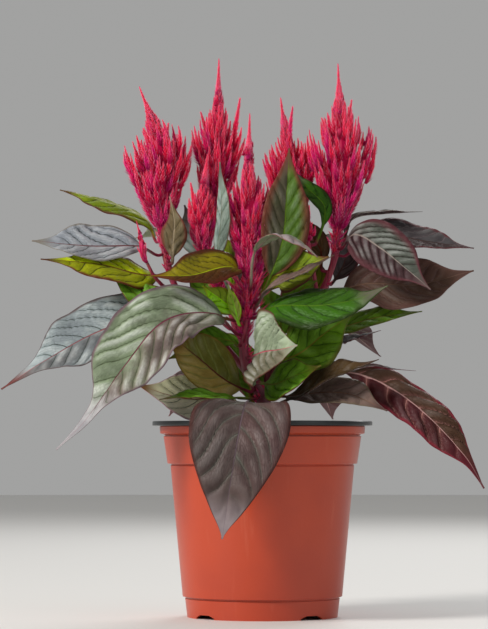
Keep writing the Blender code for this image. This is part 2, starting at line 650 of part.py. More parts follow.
def plume_core(name, plume, route, frames, collection):
    """The slim body that the spikelets stand out of."""
    bm = bmesh.new()
    bmesh.ops.create_cone(bm, cap_ends=True, segments=PLUME_CORE_SIDES, radius1=1.0, radius2=1.0,
                          depth=1.0)
    sides = [edge for edge in bm.edges if abs(edge.verts[0].co.z - edge.verts[1].co.z) > 0.5]
    bmesh.ops.subdivide_edges(bm, edges=sides, cuts=PLUME_CORE_RINGS - 1, use_grid_fill=True)
    for vert in bm.verts:
        along = vert.co.z + 0.5
        place = round(along * PLUME_FRAMES)
        _, side, normal = frames[place]
        slimmest = CORE_FOOT_RADIUS + (CORE_TIP_RADIUS - CORE_FOOT_RADIUS) * along
        radius = max(slimmest, PLUME_CORE_SHARE * plume_radius(plume, along))
        vert.co = route[place] + side * (vert.co.x * radius) + normal * (vert.co.y * radius)
    bmesh.ops.recalc_face_normals(bm, faces=bm.faces)
    return object_from(name + " core", mesh_from(bm, name), collection)


def build_plume(name, plume, collection, look):
    """Spikelets set round the core by the golden angle, each leaning up and out to the plume's outline."""
    draw = random.Random(plume.seed)
    route = plume_axis(plume)
    frames = frames_along(route, (0.0, -1.0, 0.0))
    length = (route[-1] - route[0]).length
    pieces = [plume_core(name, plume, route, frames, collection)]
    for i in range(plume.spikelets):
        share = (i + 0.5) / plume.spikelets
        tip_share = LOWEST_TIP + (HIGHEST_TIP - LOWEST_TIP) * share
        spikelet = plume.spikelet_length * draw.uniform(*LENGTH_SPREAD) * (1.0 - SPIKELET_TAPER * share)
        start = max(LOWEST_ROOT, tip_share - SPIKELET_RISE * spikelet / length)
        root_frame = round(start * PLUME_FRAMES)
        _, side, normal = frames[root_frame]
        turn = i * GOLDEN_ANGLE + draw.uniform(-TURN_SPREAD, TURN_SPREAD)
        out = side * math.cos(turn) + normal * math.sin(turn)
        sunk = PLUME_CORE_SHARE * SPIKELET_SINK * plume_radius(plume, start)
        reach = plume_radius(plume, tip_share) * draw.uniform(*REACH_SPREAD)
        root = route[root_frame] + out * sunk
        tip = route[round(tip_share * PLUME_FRAMES)] + out * reach
        radius = SPIKELET_RADIUS * (1.0 - SPIKELET_TAPER * share) * min(1.0, plume.half_width / FULL_PLUME)
        bm = bmesh.new()
        bmesh.ops.create_cone(bm, cap_ends=True, segments=3, radius1=radius, radius2=0.0,
                              depth=(tip - root).length)
        lean = (tip - root).to_track_quat("Z", "Y").to_matrix().to_4x4()
        bmesh.ops.transform(bm, matrix=Matrix.Translation((root + tip) / 2) @ lean, verts=bm.verts)
        pieces.append(object_from(name + " spikelet", mesh_from(bm, name), collection))
    fused = fuse(name, pieces, collection, "MANIFOLD")
    fused.data.materials.append(look)


def main():
    clear_scene()
    celosia = new_collection("plumed celosia")
    cutters = new_collection("cutters")
    build_pot(celosia, cutters)
    build_soil(celosia)
    build_stems(celosia)
    leaf_looks = {}
    for name, colour in LEAF_COLOURS.items():
        leaf_looks[name] = material(name + " leaf", colour, LEAF_ROUGHNESS)
    for name, leaf in LEAVES.items():
        build_leaf("leaf_" + name, leaf, celosia, leaf_looks[leaf.colour])
    plume_look = material("celosia plume", (0.6, 0.01, 0.06), 0.7)
    for name, plume in PLUMES.items():
        build_plume("plume_" + name, plume, celosia, plume_look)
    for made in celosia.objects:
        made.data.shade_smooth()
        made.data.set_sharp_from_angle(angle=CREASE_ANGLE)


main()
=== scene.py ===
# %% [markdown]
# A plumed celosia in its nursery pot, dressed for a studio picture.
# The frame holds the plain solids: a pot, its soil, one tree of stems, 45 leaves and nine plumes.
# Every solid here is too coarse to be looked at closely, so each one gets a finer piece in the same place.
# The finer pieces follow the same named routes as the solids, so nothing has to be fitted by eye.

# %% Load the frame
import json
import math
import random
from typing import NamedTuple

import bmesh
import bpy
from mathutils import Matrix, Vector, noise
from mathutils.geometry import interpolate_bezier

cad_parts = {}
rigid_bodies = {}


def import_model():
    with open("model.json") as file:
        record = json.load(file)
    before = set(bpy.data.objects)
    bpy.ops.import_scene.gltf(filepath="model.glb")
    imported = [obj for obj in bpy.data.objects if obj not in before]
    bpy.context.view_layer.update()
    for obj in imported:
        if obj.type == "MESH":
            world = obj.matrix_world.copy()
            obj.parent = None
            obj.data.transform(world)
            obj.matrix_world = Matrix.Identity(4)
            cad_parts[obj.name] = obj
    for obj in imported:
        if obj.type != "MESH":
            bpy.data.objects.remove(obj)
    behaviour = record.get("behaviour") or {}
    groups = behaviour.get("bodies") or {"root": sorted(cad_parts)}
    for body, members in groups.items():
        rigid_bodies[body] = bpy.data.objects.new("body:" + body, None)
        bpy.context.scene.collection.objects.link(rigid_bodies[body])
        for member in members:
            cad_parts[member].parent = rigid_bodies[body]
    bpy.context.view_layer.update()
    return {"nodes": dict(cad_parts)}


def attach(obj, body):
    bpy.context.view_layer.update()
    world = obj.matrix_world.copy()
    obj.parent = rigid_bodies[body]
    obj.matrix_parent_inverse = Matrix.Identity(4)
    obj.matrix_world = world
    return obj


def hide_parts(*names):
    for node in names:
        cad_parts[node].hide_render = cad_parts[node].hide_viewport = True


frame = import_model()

MM = 0.001
print("nodes to dress:", len(frame["nodes"]))

# %% [markdown]
# The camera takes the photograph's viewpoint: a little under the pot's rim, 1.8 m away, with a long lens.
# A long lens shows near and far leaves at nearly one scale, so its length matters as much as the viewpoint.
# The camera's height is read from the rim, which shows as a flat line only from its own level.

# %% Camera
EYE = Vector((-0.0117, -1.8, 0.112))
TARGET = Vector((-0.0117, 0.0, 0.192))
FRAME_HEIGHT = 0.4013
SENSOR = 24.0

camera = bpy.data.objects.new("camera", bpy.data.cameras.new("camera"))
bpy.context.scene.collection.objects.link(camera)
camera.data.sensor_width = SENSOR
camera.data.lens = SENSOR * (TARGET - EYE).length / FRAME_HEIGHT
camera.location = EYE
camera.rotation_euler = (TARGET - EYE).to_track_quat("-Z", "Y").to_euler()
bpy.context.scene.camera = camera
print("lens in mm:", round(camera.data.lens, 1))

# %% [markdown]
# A soft studio: a strong light on the left, a weak one on the right, one from behind, and a pale round floor.
# Large lights give the broad soft sheen that leaves and plastic show. A small light would give hard sparks.
# The floor is round and the background is plain, so the plant can be looked at from every side.

# %% Floor and lights
FLOOR_RADIUS = 4.0
FLOOR_COLOUR = (0.72, 0.71, 0.69)
# place, size, power, tint
LIGHTS = {
    "key": ((-1.45, -1.1, 1.35), (0.5, 0.5), 42.0, (1.0, 0.97, 0.93)),
    "fill": ((1.5, -1.3, 0.7), (1.2, 1.2), 3.0, (0.93, 0.96, 1.0)),
    "back": ((0.5, 1.5, 1.3), (1.0, 0.8), 14.0, (1.0, 1.0, 1.0)),
}
LIT_POINT = Vector((0.0, 0.0, 0.18))
WORLD_COLOUR = (0.80, 0.80, 0.79)
WORLD_STRENGTH = 0.45


def linked(name, data):
    """A new object, in the scene, with its origin at the world's."""
    made = bpy.data.objects.new(name, data)
    bpy.context.scene.collection.objects.link(made)
    return made


def mesh_from(bm, name):
    """The bmesh, which is in millimetres, as a mesh in metres."""
    bmesh.ops.scale(bm, vec=(MM, MM, MM), verts=bm.verts)
    mesh = bpy.data.meshes.new(name)
    bm.to_mesh(mesh)
    bm.free()
    return mesh


disc = bmesh.new()
bmesh.ops.create_circle(disc, cap_ends=True, segments=96, radius=FLOOR_RADIUS / MM)
floor = linked("floor", mesh_from(disc, "floor"))
floor_look = bpy.data.materials.new("pale floor")
floor_look.use_nodes = True
floor_look.node_tree.nodes["Principled BSDF"].inputs["Base Color"].default_value = (*FLOOR_COLOUR, 1.0)
floor_look.node_tree.nodes["Principled BSDF"].inputs["Roughness"].default_value = 0.6
floor.data.materials.append(floor_look)

for name, (place, size, power, tint) in LIGHTS.items():
    lamp = linked(name, bpy.data.lights.new(name, "AREA"))
    lamp.data.shape = "RECTANGLE"
    lamp.data.size, lamp.data.size_y = size
    lamp.data.energy = power
    lamp.data.color = tint
    lamp.location = place
    lamp.rotation_euler = (LIT_POINT - Vector(place)).to_track_quat("-Z", "Y").to_euler()

world = bpy.data.worlds.new("studio")
world.use_nodes = True
world.node_tree.nodes["Background"].inputs["Color"].default_value = (*WORLD_COLOUR, 1.0)
world.node_tree.nodes["Background"].inputs["Strength"].default_value = WORLD_STRENGTH
bpy.context.scene.world = world
bpy.context.scene.view_settings.view_transform = "Standard"
print("lights:", ", ".join(LIGHTS))

# %% [markdown]
# Plant parts follow lines: a stem follows its axis, a leaf its midrib, a plume its stalk.
# A smooth curve through a few given points gives such a line, and it looks grown and not ruled.
# Along each line a frame of three directions is carried without twist, so that a blade doesn't spin.

# %% Lines to grow along
ROUTE_STEPS = 24


def smooth_route(points, count):
    """count + 1 points at even distances along a smooth curve through the given points."""
    knots = [Vector(point) for point in points]
    slopes = []
    for i in range(len(knots)):
        slopes.append((knots[min(i + 1, len(knots) - 1)] - knots[max(i - 1, 0)]).normalized())
    fine = [knots[0]]
    for i in range(len(knots) - 1):
        reach = (knots[i + 1] - knots[i]).length / 3
        handle_out = knots[i] + slopes[i] * reach
        handle_in = knots[i + 1] - slopes[i + 1] * reach
        fine += interpolate_bezier(knots[i], handle_out, handle_in, knots[i + 1], ROUTE_STEPS)[1:]
    distances = [0.0]
    for first, second in zip(fine, fine[1:]):
        distances.append(distances[-1] + (second - first).length)
    route = []
    place = 0
    for step in range(count + 1):
        wanted = distances[-1] * step / count
        while place < len(fine) - 2 and distances[place + 1] < wanted:
            place += 1
        share = (wanted - distances[place]) / (distances[place + 1] - distances[place])
        route.append(fine[place].lerp(fine[place + 1], min(share, 1.0)))
    return route


def frames_along(route, facing):
    """(tangent, side, normal) at each point: the middle one faces as told, the rest follow it untwisted."""
    last = len(route) - 1
    tangents = [(route[min(i + 1, last)] - route[max(i - 1, 0)]).normalized() for i in range(last + 1)]
    middle = len(route) // 2
    normals = [None] * len(route)
    toward = Vector(facing)
    normals[middle] = (toward - toward.project(tangents[middle])).normalized()
    for i in range(middle + 1, len(route)):
        normals[i] = tangents[i - 1].rotation_difference(tangents[i]) @ normals[i - 1]
    for i in range(middle - 1, -1, -1):
        normals[i] = tangents[i + 1].rotation_difference(tangents[i]) @ normals[i + 1]
    return [(t, n.cross(t).normalized(), n) for t, n in zip(tangents, normals)]


def length_of(route):
    """The length of a line given by its points."""
    return sum((second - first).length for first, second in zip(route, route[1:]))


def smoothstep(low, high, value):
    """0 at low, 1 at high and an easy slope between them. It falls where low is the larger of the two."""
    share = min(1.0, max(0.0, (value - low) / (high - low)))
    return share * share * (3.0 - 2.0 * share)


trial = smooth_route([(0, 0, 0), (0, 0, 50), (30, 0, 80)], 20)
print("a trial route of", round(length_of(trial)), "mm has", len(trial), "points")

# %% [markdown]
# Colours are given as they look on a screen, in hexadecimal, as one reads them off a reference.
# Shaders work with light, so each colour is turned into a linear one once, here.
# Shader nodes are added by a few short helpers, which keeps each finish readable as a recipe.

# %% Shader helpers
def linear(code):
    """A screen colour such as 'C8553A' as linear red, green, blue and alpha."""
    channels = [int(code[i:i + 2], 16) / 255 for i in (0, 2, 4)]
    return (*[c / 12.92 if c <= 0.04045 else ((c + 0.055) / 1.055) ** 2.4 for c in channels], 1.0)


def add(tree, kind, inputs=None, **settings):
    """A new node: its settings, then its inputs, each either a value or another node's output."""
    made = tree.nodes.new(kind)
    for key, value in settings.items():
        setattr(made, key, value)
    for key, value in (inputs or {}).items():
        if isinstance(value, bpy.types.NodeSocket):
            tree.links.new(value, made.inputs[key])
        else:
            made.inputs[key].default_value = value
    return made


def maths(tree, operation, *values):
    """One sum or product of numbers and node outputs."""
    return add(tree, "ShaderNodeMath", dict(enumerate(values)), operation=operation).outputs[0]


def ramp(tree, value, low, high, first=0.0, last=1.0):
    """An easy slope from first to last while the value goes from low to high."""
    given = {"Value": value, "From Min": low, "From Max": high, "To Min": first, "To Max": last}
    return add(tree, "ShaderNodeMapRange", given, interpolation_type="SMOOTHSTEP").outputs[0]


def blend(tree, factor, first, second, blend_type="MIX"):
    """A colour between first and second, by a factor from 0 to 1."""
    given = {0: factor, 6: first, 7: second}
    return add(tree, "ShaderNodeMix", given, data_type="RGBA", blend_type=blend_type).outputs[2]


def speckle(tree, place, scale, detail=3.0):
    """Soft random values from 0 to 1, in spots of about 1/scale."""
    given = {"Vector": place, "Scale": scale, "Detail": detail}
    return add(tree, "ShaderNodeTexNoise", given).outputs["Fac"]


def object_place(tree):
    """The point's place on the object in metres, which stays with the piece in every view."""
    return add(tree, "ShaderNodeTexCoord").outputs["Object"]


def map_values(tree, name):
    """The X and Y that one of the piece's own maps gives a point."""
    place = add(tree, "ShaderNodeUVMap", uv_map=name).outputs[0]
    return add(tree, "ShaderNodeSeparateXYZ", {0: place}).outputs


def stretched(tree, place, scale):
    """The place scaled along each axis. A small scale draws a pattern out along that axis."""
    return add(tree, "ShaderNodeMapping", {"Vector": place, "Scale": scale}).outputs[0]


def new_group(name, numbers, colours, outputs):
    """An empty node group with named number and colour inputs, and outputs given as (name, socket type)."""
    group = bpy.data.node_groups.new(name, "ShaderNodeTree")
    for key in numbers:
        group.interface.new_socket(key, in_out="INPUT", socket_type="NodeSocketFloat")
    for key in colours:
        group.interface.new_socket(key, in_out="INPUT", socket_type="NodeSocketColor")
    for key, kind in outputs:
        group.interface.new_socket(key, in_out="OUTPUT", socket_type=kind)
    return group, group.nodes.new("NodeGroupInput").outputs, group.nodes.new("NodeGroupOutput")


def new_look(name, **constants):
    """A material with its Principled shader, whose constant values are set on the shader's own sockets."""
    look = bpy.data.materials.new(name)
    look.use_nodes = True
    shader = look.node_tree.nodes["Principled BSDF"]
    for key, value in constants.items():
        shader.inputs[key.replace("_", " ").title().replace("Ior", "IOR")].default_value = value
    return look, look.node_tree, shader


def bump(tree, shader, height, distance, strength=1.0):
    """Feeds the shader's normal with a relief of that depth in metres."""
    given = {"Height": height, "Distance": distance, "Strength": strength}
    tree.links.new(add(tree, "ShaderNodeBump", given).outputs[0], shader.inputs["Normal"])


print("terracotta as light:", [round(c, 3) for c in linear("C8553A")])

# %% [markdown]
# The plant is described by three lists, in millimetres: its stems, its plumes and its leaves.
# Each entry holds a few points that its line passes through and the few sizes that make it itself.
# They are the same routes that the solids were built on, which is why a finer piece falls where its solid is.
# A leaf also names its look, because on this plant hardly two leaves catch the light alike.

# %% The plant's lines
class Stem(NamedTuple):
    """A smooth tube through the route's points, tapering from one radius to the other."""

    route: list
    radius_start: float
    radius_end: float


class Plume(NamedTuple):
    """A flower spike on top of a stem: its axis above the stem, its outline and its side spikes."""

    stem: str
    route: list
    half_width: float
    widest: float
    spike_length: float
    spikes: int
    seed: int


class Leaf(NamedTuple):
    """A blade and its petiole, rooted on a stem: the midrib's route to the tip, and the form round it."""

    stem: str
    root_height: float
    route: list
    half_width: float
    facing: tuple
    fold_degrees: float
    petiole: float
    widest: float
    look: str


STEMS = {
    "main": Stem([(0, 0, 112), (0, 0, 138), (-8, -3, 153), (-12, -5, 172), (-10, -6, 191), (-8, -8, 213)],
                 4.0, 2.2),
    "right": Stem([(1, 1, 112), (3, 4, 138), (15, 10, 170), (36, 14, 202), (46, 15, 227), (48, 15, 245)],
                  2.8, 2.0),
    "left": Stem([(-8, -3, 153), (-30, 4, 179), (-53, 6, 205), (-61, 8, 226), (-64, 8, 244)], 2.4, 1.9),
    "inner": Stem([(-12, -5, 172), (-24, 0, 201), (-35, 2, 221), (-37, 2, 232)], 2.0, 1.6),
    "rear_left": Stem([(0, 1, 112), (-1, 6, 138), (-14, 18, 176), (-27, 26, 222), (-30, 28, 253)], 2.8, 2.0),
    "rear_right": Stem([(1, 2, 112), (2, 7, 138), (9, 20, 183), (17, 25, 222), (18, 25, 249)], 2.8, 2.0),
    "far_left": Stem([(-53, 6, 205), (-62, -4, 209), (-71, -11, 219), (-73, -12, 224)], 1.4, 1.0),
    "inner_right": Stem([(36, 14, 202), (32, 4, 224), (29, 0, 239)], 1.4, 1.1),
    "bud": Stem([(-12, -5, 172), (-11, -12, 180), (-10, -13, 188)], 1.4, 1.0),
}

PLUMES = {
    "left": Plume("left", [(-67, 8, 279), (-68, 8, 307), (-79, 6, 339)], 21.0, 0.62, 25.0, 46, 9),
    "rear_left": Plume("rear_left", [(-29, 28, 300), (-28, 28, 360)], 17.0, 0.55, 24.0, 46, 7),
    "inner": Plume("inner", [(-38, 0, 262), (-35, 0, 295)], 10.0, 0.5, 17.0, 24, 0),
    "centre": Plume("main", [(-9, -9, 264), (-8, -8, 320)], 15.0, 0.5, 21.0, 46, 8),
    "rear_right": Plume("rear_right", [(17, 25, 293), (12, 24, 334)], 18.0, 0.56, 22.0, 38, 2),
    "right": Plume("right", [(51, 15, 292), (49, 15, 355)], 22.0, 0.60, 25.0, 46, 8),
    "far_left": Plume("far_left", [(-77, -13, 239), (-80, -13, 251)], 3.4, 0.4, 9.0, 9, 6),
    "inner_right": Plume("inner_right", [(30, 0, 262)], 6.5, 0.4, 11.0, 10, 9),
    "bud": Plume("bud", [(-10, -14, 204)], 3.8, 0.4, 8.0, 9, 4),
}

LEAVES = {
    "upper_left_green": Leaf("left", 240, [(-75, 16, 254), (-98, 20, 265), (-131, 26, 274)],
                         13, (0, -0.5, 0.86), 8, 0.14, 0.42, "olive"),
    "left_silver": Leaf("left", 231, [(-78, -2, 235), (-109, -10, 235), (-146, -16, 238)],
                    16, (0, -0.8, 0.6), 16, 0.18, 0.42, "silver"),
    "left_lime": Leaf("left", 218, [(-78, -10, 217), (-103, -18, 223), (-140, -22, 226)],
                  13, (0, -0.6, 0.8), 4, 0.12, 0.36, "lime"),
    "left_green": Leaf("main", 187, [(-46, -16, 194), (-75, -18, 201), (-99, -12, 222)],
                   14, (0, -0.75, 0.65), 8, 0.16, 0.42, "deep_green"),
    "left_bronze": Leaf("main", 211, [(-19, -18, 221), (-45, -36, 215), (-70, -44, 214)],
                    17, (0, -0.72, 0.7), 15, 0.08, 0.42, "bronze"),
    "far_left_silver": Leaf("left", 190, [(-72, -2, 191), (-106, -6, 180), (-138, -12, 162),
                                          (-165, -16, 144)],
                        22, (0.1, -0.75, 0.65), 15, 0.1, 0.38, "red_tipped"),
    "front_left_large": Leaf("main", 179, [(-31, -28, 191), (-61, -42, 186), (-85, -58, 158),
                                           (-109, -66, 124), (-127, -66, 106)],
                             25, (-0.15, -0.9, 0.4), 14, 0.12, 0.36, "two_tone"),
    "left_brown": Leaf("main", 146, [(-24, -22, 150), (-41, -32, 164), (-64, -36, 182)],
                   17, (0, -0.9, 0.4), 10, 0.15, 0.45, "copper"),
    "low_left_pale": Leaf("main", 133, [(-24, -14, 138), (-49, -26, 138), (-78, -36, 146)],
                      17, (0, -0.9, 0.45), 10, 0.16, 0.5, "cream"),
    "low_left_narrow": Leaf("main", 139, [(-27, -38, 139), (-45, -48, 140), (-64, -54, 137)],
                        8, (0, -0.5, 0.85), 8, 0.3, 0.45, "deep_green"),
    "front_hanging": Leaf("main", 134, [(-7, -30, 135), (-10, -55, 135), (-13, -77, 126), (-18, -88, 98),
                                    (-25, -86, 52)], 31, (-0.1, -1, 0.2), 6, 0.34, 0.3, "plum"),
    "front_folded": Leaf("main", 164, [(0, -30, 167), (11, -54, 168), (21, -68, 170)],
                     26, (-0.8, -0.5, 0.25), 20, 0.15, 0.4, "white_green"),
    "right_green_large": Leaf("main", 190, [(8, -24, 196), (36, -38, 196), (60, -44, 200), (78, -44, 208)],
                          17, (0, -0.8, 0.6), -8, 0.12, 0.45, "bright_green"),
    "right_round": Leaf("main", 158, [(22, -14, 166), (39, -20, 179), (57, -24, 192)],
                    19, (0.1, -0.95, 0.3), 8, 0.25, 0.42, "green"),
    "right_dark_round": Leaf("main", 148, [(8, -30, 147), (20, -44, 152), (36, -52, 158)],
                         14, (-0.1, -0.9, 0.4), 8, 0.2, 0.45, "deep_green"),
    "right_brown_folded": Leaf("main", 140, [(22, -26, 140), (45, -42, 152), (72, -48, 162)],
                           14, (-0.2, -0.5, 0.85), 18, 0.22, 0.45, "umber"),
    "low_right_purple": Leaf("main", 133, [(24, -16, 140), (52, -36, 141), (77, -52, 130)],
                         13, (0.1, -0.75, 0.65), 10, 0.2, 0.42, "mauve"),
    "right_drooping": Leaf("right", 142, [(30, -2, 152), (57, -14, 154), (80, -26, 145), (104, -38, 126),
                                      (126, -46, 101), (137, -48, 82)],
                           18, (0.3, -0.85, 0.45), 12, 0.3, 0.42, "burgundy"),
    "right_back_edge": Leaf("right", 146, [(37, 20, 158), (70, 30, 159), (100, 38, 157)],
                        12, (0, -0.15, 1), 8, 0.2, 0.42, "dark"),
    "upper_right_edge": Leaf("right", 241, [(58, 22, 255), (79, 24, 259), (104, 28, 260)],
                         11, (0, -0.1, 1), 6, 0.12, 0.4, "umber"),
    "right_striped": Leaf("right", 235, [(59, 0, 243), (74, -14, 234), (90, -26, 220), (105, -36, 206)],
                      17, (-0.2, -0.8, 0.55), 12, 0.1, 0.42, "striped"),
    "upper_right_dark": Leaf("right", 231, [(73, 18, 244), (105, 16, 240), (136, 10, 235)],
                         16, (0.1, -0.6, 0.8), 10, 0.12, 0.4, "dark"),
    "right_burgundy": Leaf("right", 208, [(66, 8, 212), (98, 4, 211), (135, 0, 220)],
                       21, (0, -0.85, 0.5), 12, 0.12, 0.42, "dark_burgundy"),
    "right_green_small": Leaf("right", 176, [(44, 12, 181), (72, 6, 190), (102, 0, 194)],
                          11, (0, -0.6, 0.8), 8, 0.2, 0.42, "green"),
    "right_curled": Leaf("right", 166, [(44, 24, 173), (77, 28, 183)],
                     9, (0, -0.2, 1), 8, 0.25, 0.42, "dark"),
    "centre_erect": Leaf("main", 200, [(6, -14, 218), (13, -15, 240), (15, -17, 263), (17, -14, 297)],
                     16, (0.15, -1, 0), 14, 0.22, 0.4, "half_green"),
    "centre_lance": Leaf("inner_right", 236, [(40, 4, 260), (29, 0, 273), (18, -4, 285)],
                     6, (0.3, -0.9, 0.3), 8, 0.25, 0.45, "bright_green"),
    "left_erect_silver": Leaf("main", 198, [(-28, -7, 226), (-26, -16, 254), (-27, -17, 288)],
                          8, (-0.5, -0.85, 0), 10, 0.3, 0.45, "grey_green"),
    "inner_lime": Leaf("main", 195, [(-21, 2, 226), (-30, 6, 245)],
                   10, (-0.2, -1, 0), 8, 0.35, 0.45, "yellow_green"),
    "centre_arched": Leaf("main", 208, [(-4, -30, 232), (11, -42, 240), (25, -50, 233), (34, -54, 225)],
                      9, (0.1, -0.35, 0.93), 8, 0.36, 0.42, "pink_silver"),
    "centre_olive": Leaf("main", 205, [(8, -7, 216), (24, -14, 221), (42, -17, 228)],
                     16, (0, -0.9, 0.4), 8, 0.12, 0.45, "olive"),
    "centre_narrow": Leaf("main", 196, [(5, -24, 208), (23, -32, 216), (45, -32, 228)],
                      7, (-0.5, -0.3, 0.85), 8, 0.15, 0.45, "mauve"),
    "left_erect_brown": Leaf("left", 224, [(-57, -4, 236), (-56, -7, 251), (-59, -7, 267)],
                         9, (0.2, -1, 0), 10, 0.18, 0.42, "brown"),
    "left_erect_pale": Leaf("inner", 226, [(-44, 12, 240), (-46, 12, 251), (-50, 12, 263)],
                        9, (-0.2, -1, 0), 8, 0.2, 0.45, "grey_green"),
    "inner_yellow": Leaf("main", 195, [(-17, -12, 194), (-27, -18, 201), (-38, -22, 209)],
                     8, (-0.3, -0.9, 0.3), 8, 0.15, 0.45, "yellow_green"),
    "inner_slim": Leaf("main", 185, [(-17, -17, 194), (-22, -20, 210)],
                   4, (-0.3, -0.9, 0.1), 6, 0.2, 0.45, "pale_green"),
    "inner_dark": Leaf("main", 172, [(-19, -14, 174), (-32, -18, 177), (-45, -20, 180)],
                   8, (0, -0.8, 0.6), 8, 0.2, 0.45, "deep_green"),
    "inner_shaded": Leaf("rear_left", 150, [(-17, 8, 162), (-30, 14, 171), (-43, 18, 176)],
                     14, (0, -0.9, 0.4), 8, 0.2, 0.45, "deep_green"),
    "back_right": Leaf("rear_right", 170, [(35, 42, 186), (58, 70, 184), (80, 96, 168)],
                   18, (0.5, 0.6, 0.7), 12, 0.18, 0.4, "bronze"),
    "back_middle": Leaf("rear_right", 190, [(14, 50, 204), (14, 82, 206), (10, 118, 194)],
                    19, (0, 0.5, 0.85), 12, 0.18, 0.4, "green"),
    "back_left": Leaf("rear_left", 186, [(-40, 46, 200), (-60, 68, 200), (-84, 92, 184)],
                  19, (-0.5, 0.6, 0.7), 12, 0.18, 0.4, "silver"),
    "back_low_left": Leaf("rear_left", 140, [(-24, 30, 152), (-44, 62, 150), (-62, 96, 128)],
                      22, (-0.4, 0.6, 0.7), 12, 0.18, 0.38, "burgundy"),
    "back_low_right": Leaf("rear_right", 142, [(22, 30, 152), (38, 62, 148), (48, 100, 126)],
                       22, (0.4, 0.6, 0.7), 12, 0.18, 0.38, "dark_burgundy"),
    "back_upper_left": Leaf("rear_left", 228, [(-44, 42, 242), (-62, 60, 248), (-86, 78, 246)],
                        14, (-0.4, 0.5, 0.8), 10, 0.15, 0.42, "olive"),
    "back_upper_right": Leaf("rear_right", 228, [(30, 42, 242), (44, 62, 246), (58, 88, 240)],
                         14, (0.4, 0.5, 0.8), 10, 0.15, 0.42, "bronze"),
}
print("stems:", len(STEMS), "plumes:", len(PLUMES), "leaves:", len(LEAVES))

# %% [markdown]
# The pot is a thin two-layer nursery pot: a terracotta skin outside, and a black one inside and over the lip.
# It is turned, so half a section drawn as a line and spun round the upright axis makes all of it.
# The section's corners are left sharp here. A Bevel modifier rounds them afterwards, as a mould would.

# %% The pot's section
RIM_RADIUS = 70.0
POT_HEIGHT = 124.0
LIP_HEIGHT = 3.0
BEAD_RADIUS = 65.4
BAND_RADIUS_TOP = 62.5
BAND_RADIUS_BOTTOM = 60.1
BAND_TOP = 114.5
BAND_BOTTOM = 97.0
WALL_RADIUS_TOP = 58.4
WALL_RADIUS_BOTTOM = 50.4
BASE_TOP = 13.0
BASE_RADIUS_TOP = 49.1
BASE_RADIUS = 47.7
WALL = 1.4
FLOOR_UNDERSIDE = 3.4
FLOOR_TOP = 5.0
FOOT_RADIUS = 11.0
FLOOR_CORNER = 1.2
INSIDE_STEP_RISE = 1.5
GROOVE = 0.5
LIP_UNDERSIDE = POT_HEIGHT - LIP_HEIGHT
INSIDE_TOP = BAND_RADIUS_TOP - WALL
POT_SECTION = [
    (0.0, FLOOR_TOP),
    (BASE_RADIUS_TOP - WALL - FLOOR_CORNER, FLOOR_TOP),
    (WALL_RADIUS_BOTTOM - WALL, BASE_TOP + INSIDE_STEP_RISE),
    (WALL_RADIUS_TOP - WALL, BAND_BOTTOM - 1.0),
    (BAND_RADIUS_BOTTOM - WALL, BAND_BOTTOM + INSIDE_STEP_RISE),
    (INSIDE_TOP, BAND_TOP),
    (INSIDE_TOP + 1.6, POT_HEIGHT - 1.5),
    (INSIDE_TOP + 2.6, POT_HEIGHT),
    (RIM_RADIUS - 0.5, POT_HEIGHT),
    (RIM_RADIUS, POT_HEIGHT - 0.5),
    (RIM_RADIUS, LIP_UNDERSIDE + 0.4),
    (RIM_RADIUS - 0.4, LIP_UNDERSIDE),
    (BEAD_RADIUS - 1.0, LIP_UNDERSIDE),
    (BEAD_RADIUS, LIP_UNDERSIDE - 0.5),
    (BEAD_RADIUS - 0.4, POT_HEIGHT - 7.8),
    (BAND_RADIUS_TOP - GROOVE, POT_HEIGHT - 8.7),
    (BAND_RADIUS_TOP - GROOVE, POT_HEIGHT - 9.3),
    (BAND_RADIUS_TOP + 0.4, POT_HEIGHT - 9.7),
    (BAND_RADIUS_BOTTOM + 0.3, BAND_BOTTOM + 0.4),
    (BAND_RADIUS_BOTTOM - 0.1, BAND_BOTTOM),
    (WALL_RADIUS_TOP - GROOVE, BAND_BOTTOM - 0.2),
    (WALL_RADIUS_TOP - GROOVE, BAND_BOTTOM - 1.0),
    (WALL_RADIUS_TOP, BAND_BOTTOM - 1.3),
    (WALL_RADIUS_BOTTOM + 0.3, BASE_TOP + 0.3),
    (WALL_RADIUS_BOTTOM, BASE_TOP),
    (BASE_RADIUS_TOP - GROOVE, BASE_TOP - 0.2),
    (BASE_RADIUS_TOP - GROOVE, BASE_TOP - 1.0),
    (BASE_RADIUS_TOP, BASE_TOP - 1.3),
    (BASE_RADIUS, 0.0),
    (BASE_RADIUS - WALL, 0.0),
    (BASE_RADIUS - WALL + 0.1, FLOOR_UNDERSIDE),
    (FOOT_RADIUS + 0.6, FLOOR_UNDERSIDE),
    (FOOT_RADIUS, 0.0),
    (0.0, 0.0),
]


def spun(section, steps):
    """A bmesh turned once round Z from (radius, height) points that start and end on the axis."""
    bm = bmesh.new()
    line = [bm.verts.new((radius, 0.0, height)) for radius, height in section]
    edges = [bm.edges.new(pair) for pair in zip(line, line[1:])]
    bmesh.ops.spin(bm, geom=line + edges, cent=(0, 0, 0), axis=(0, 0, 1), angle=math.tau, steps=steps,
                   use_merge=True)
    bmesh.ops.remove_doubles(bm, verts=bm.verts, dist=0.001)
    bmesh.ops.recalc_face_normals(bm, faces=bm.faces)
    return bm


print("points in the section:", len(POT_SECTION))

# %% [markdown]
# The drain notches come through the base ring as small stepped arches, and round holes go through the floor.
# A Boolean modifier cuts them, and its result is kept as a plain mesh so that the cutters can be thrown away.

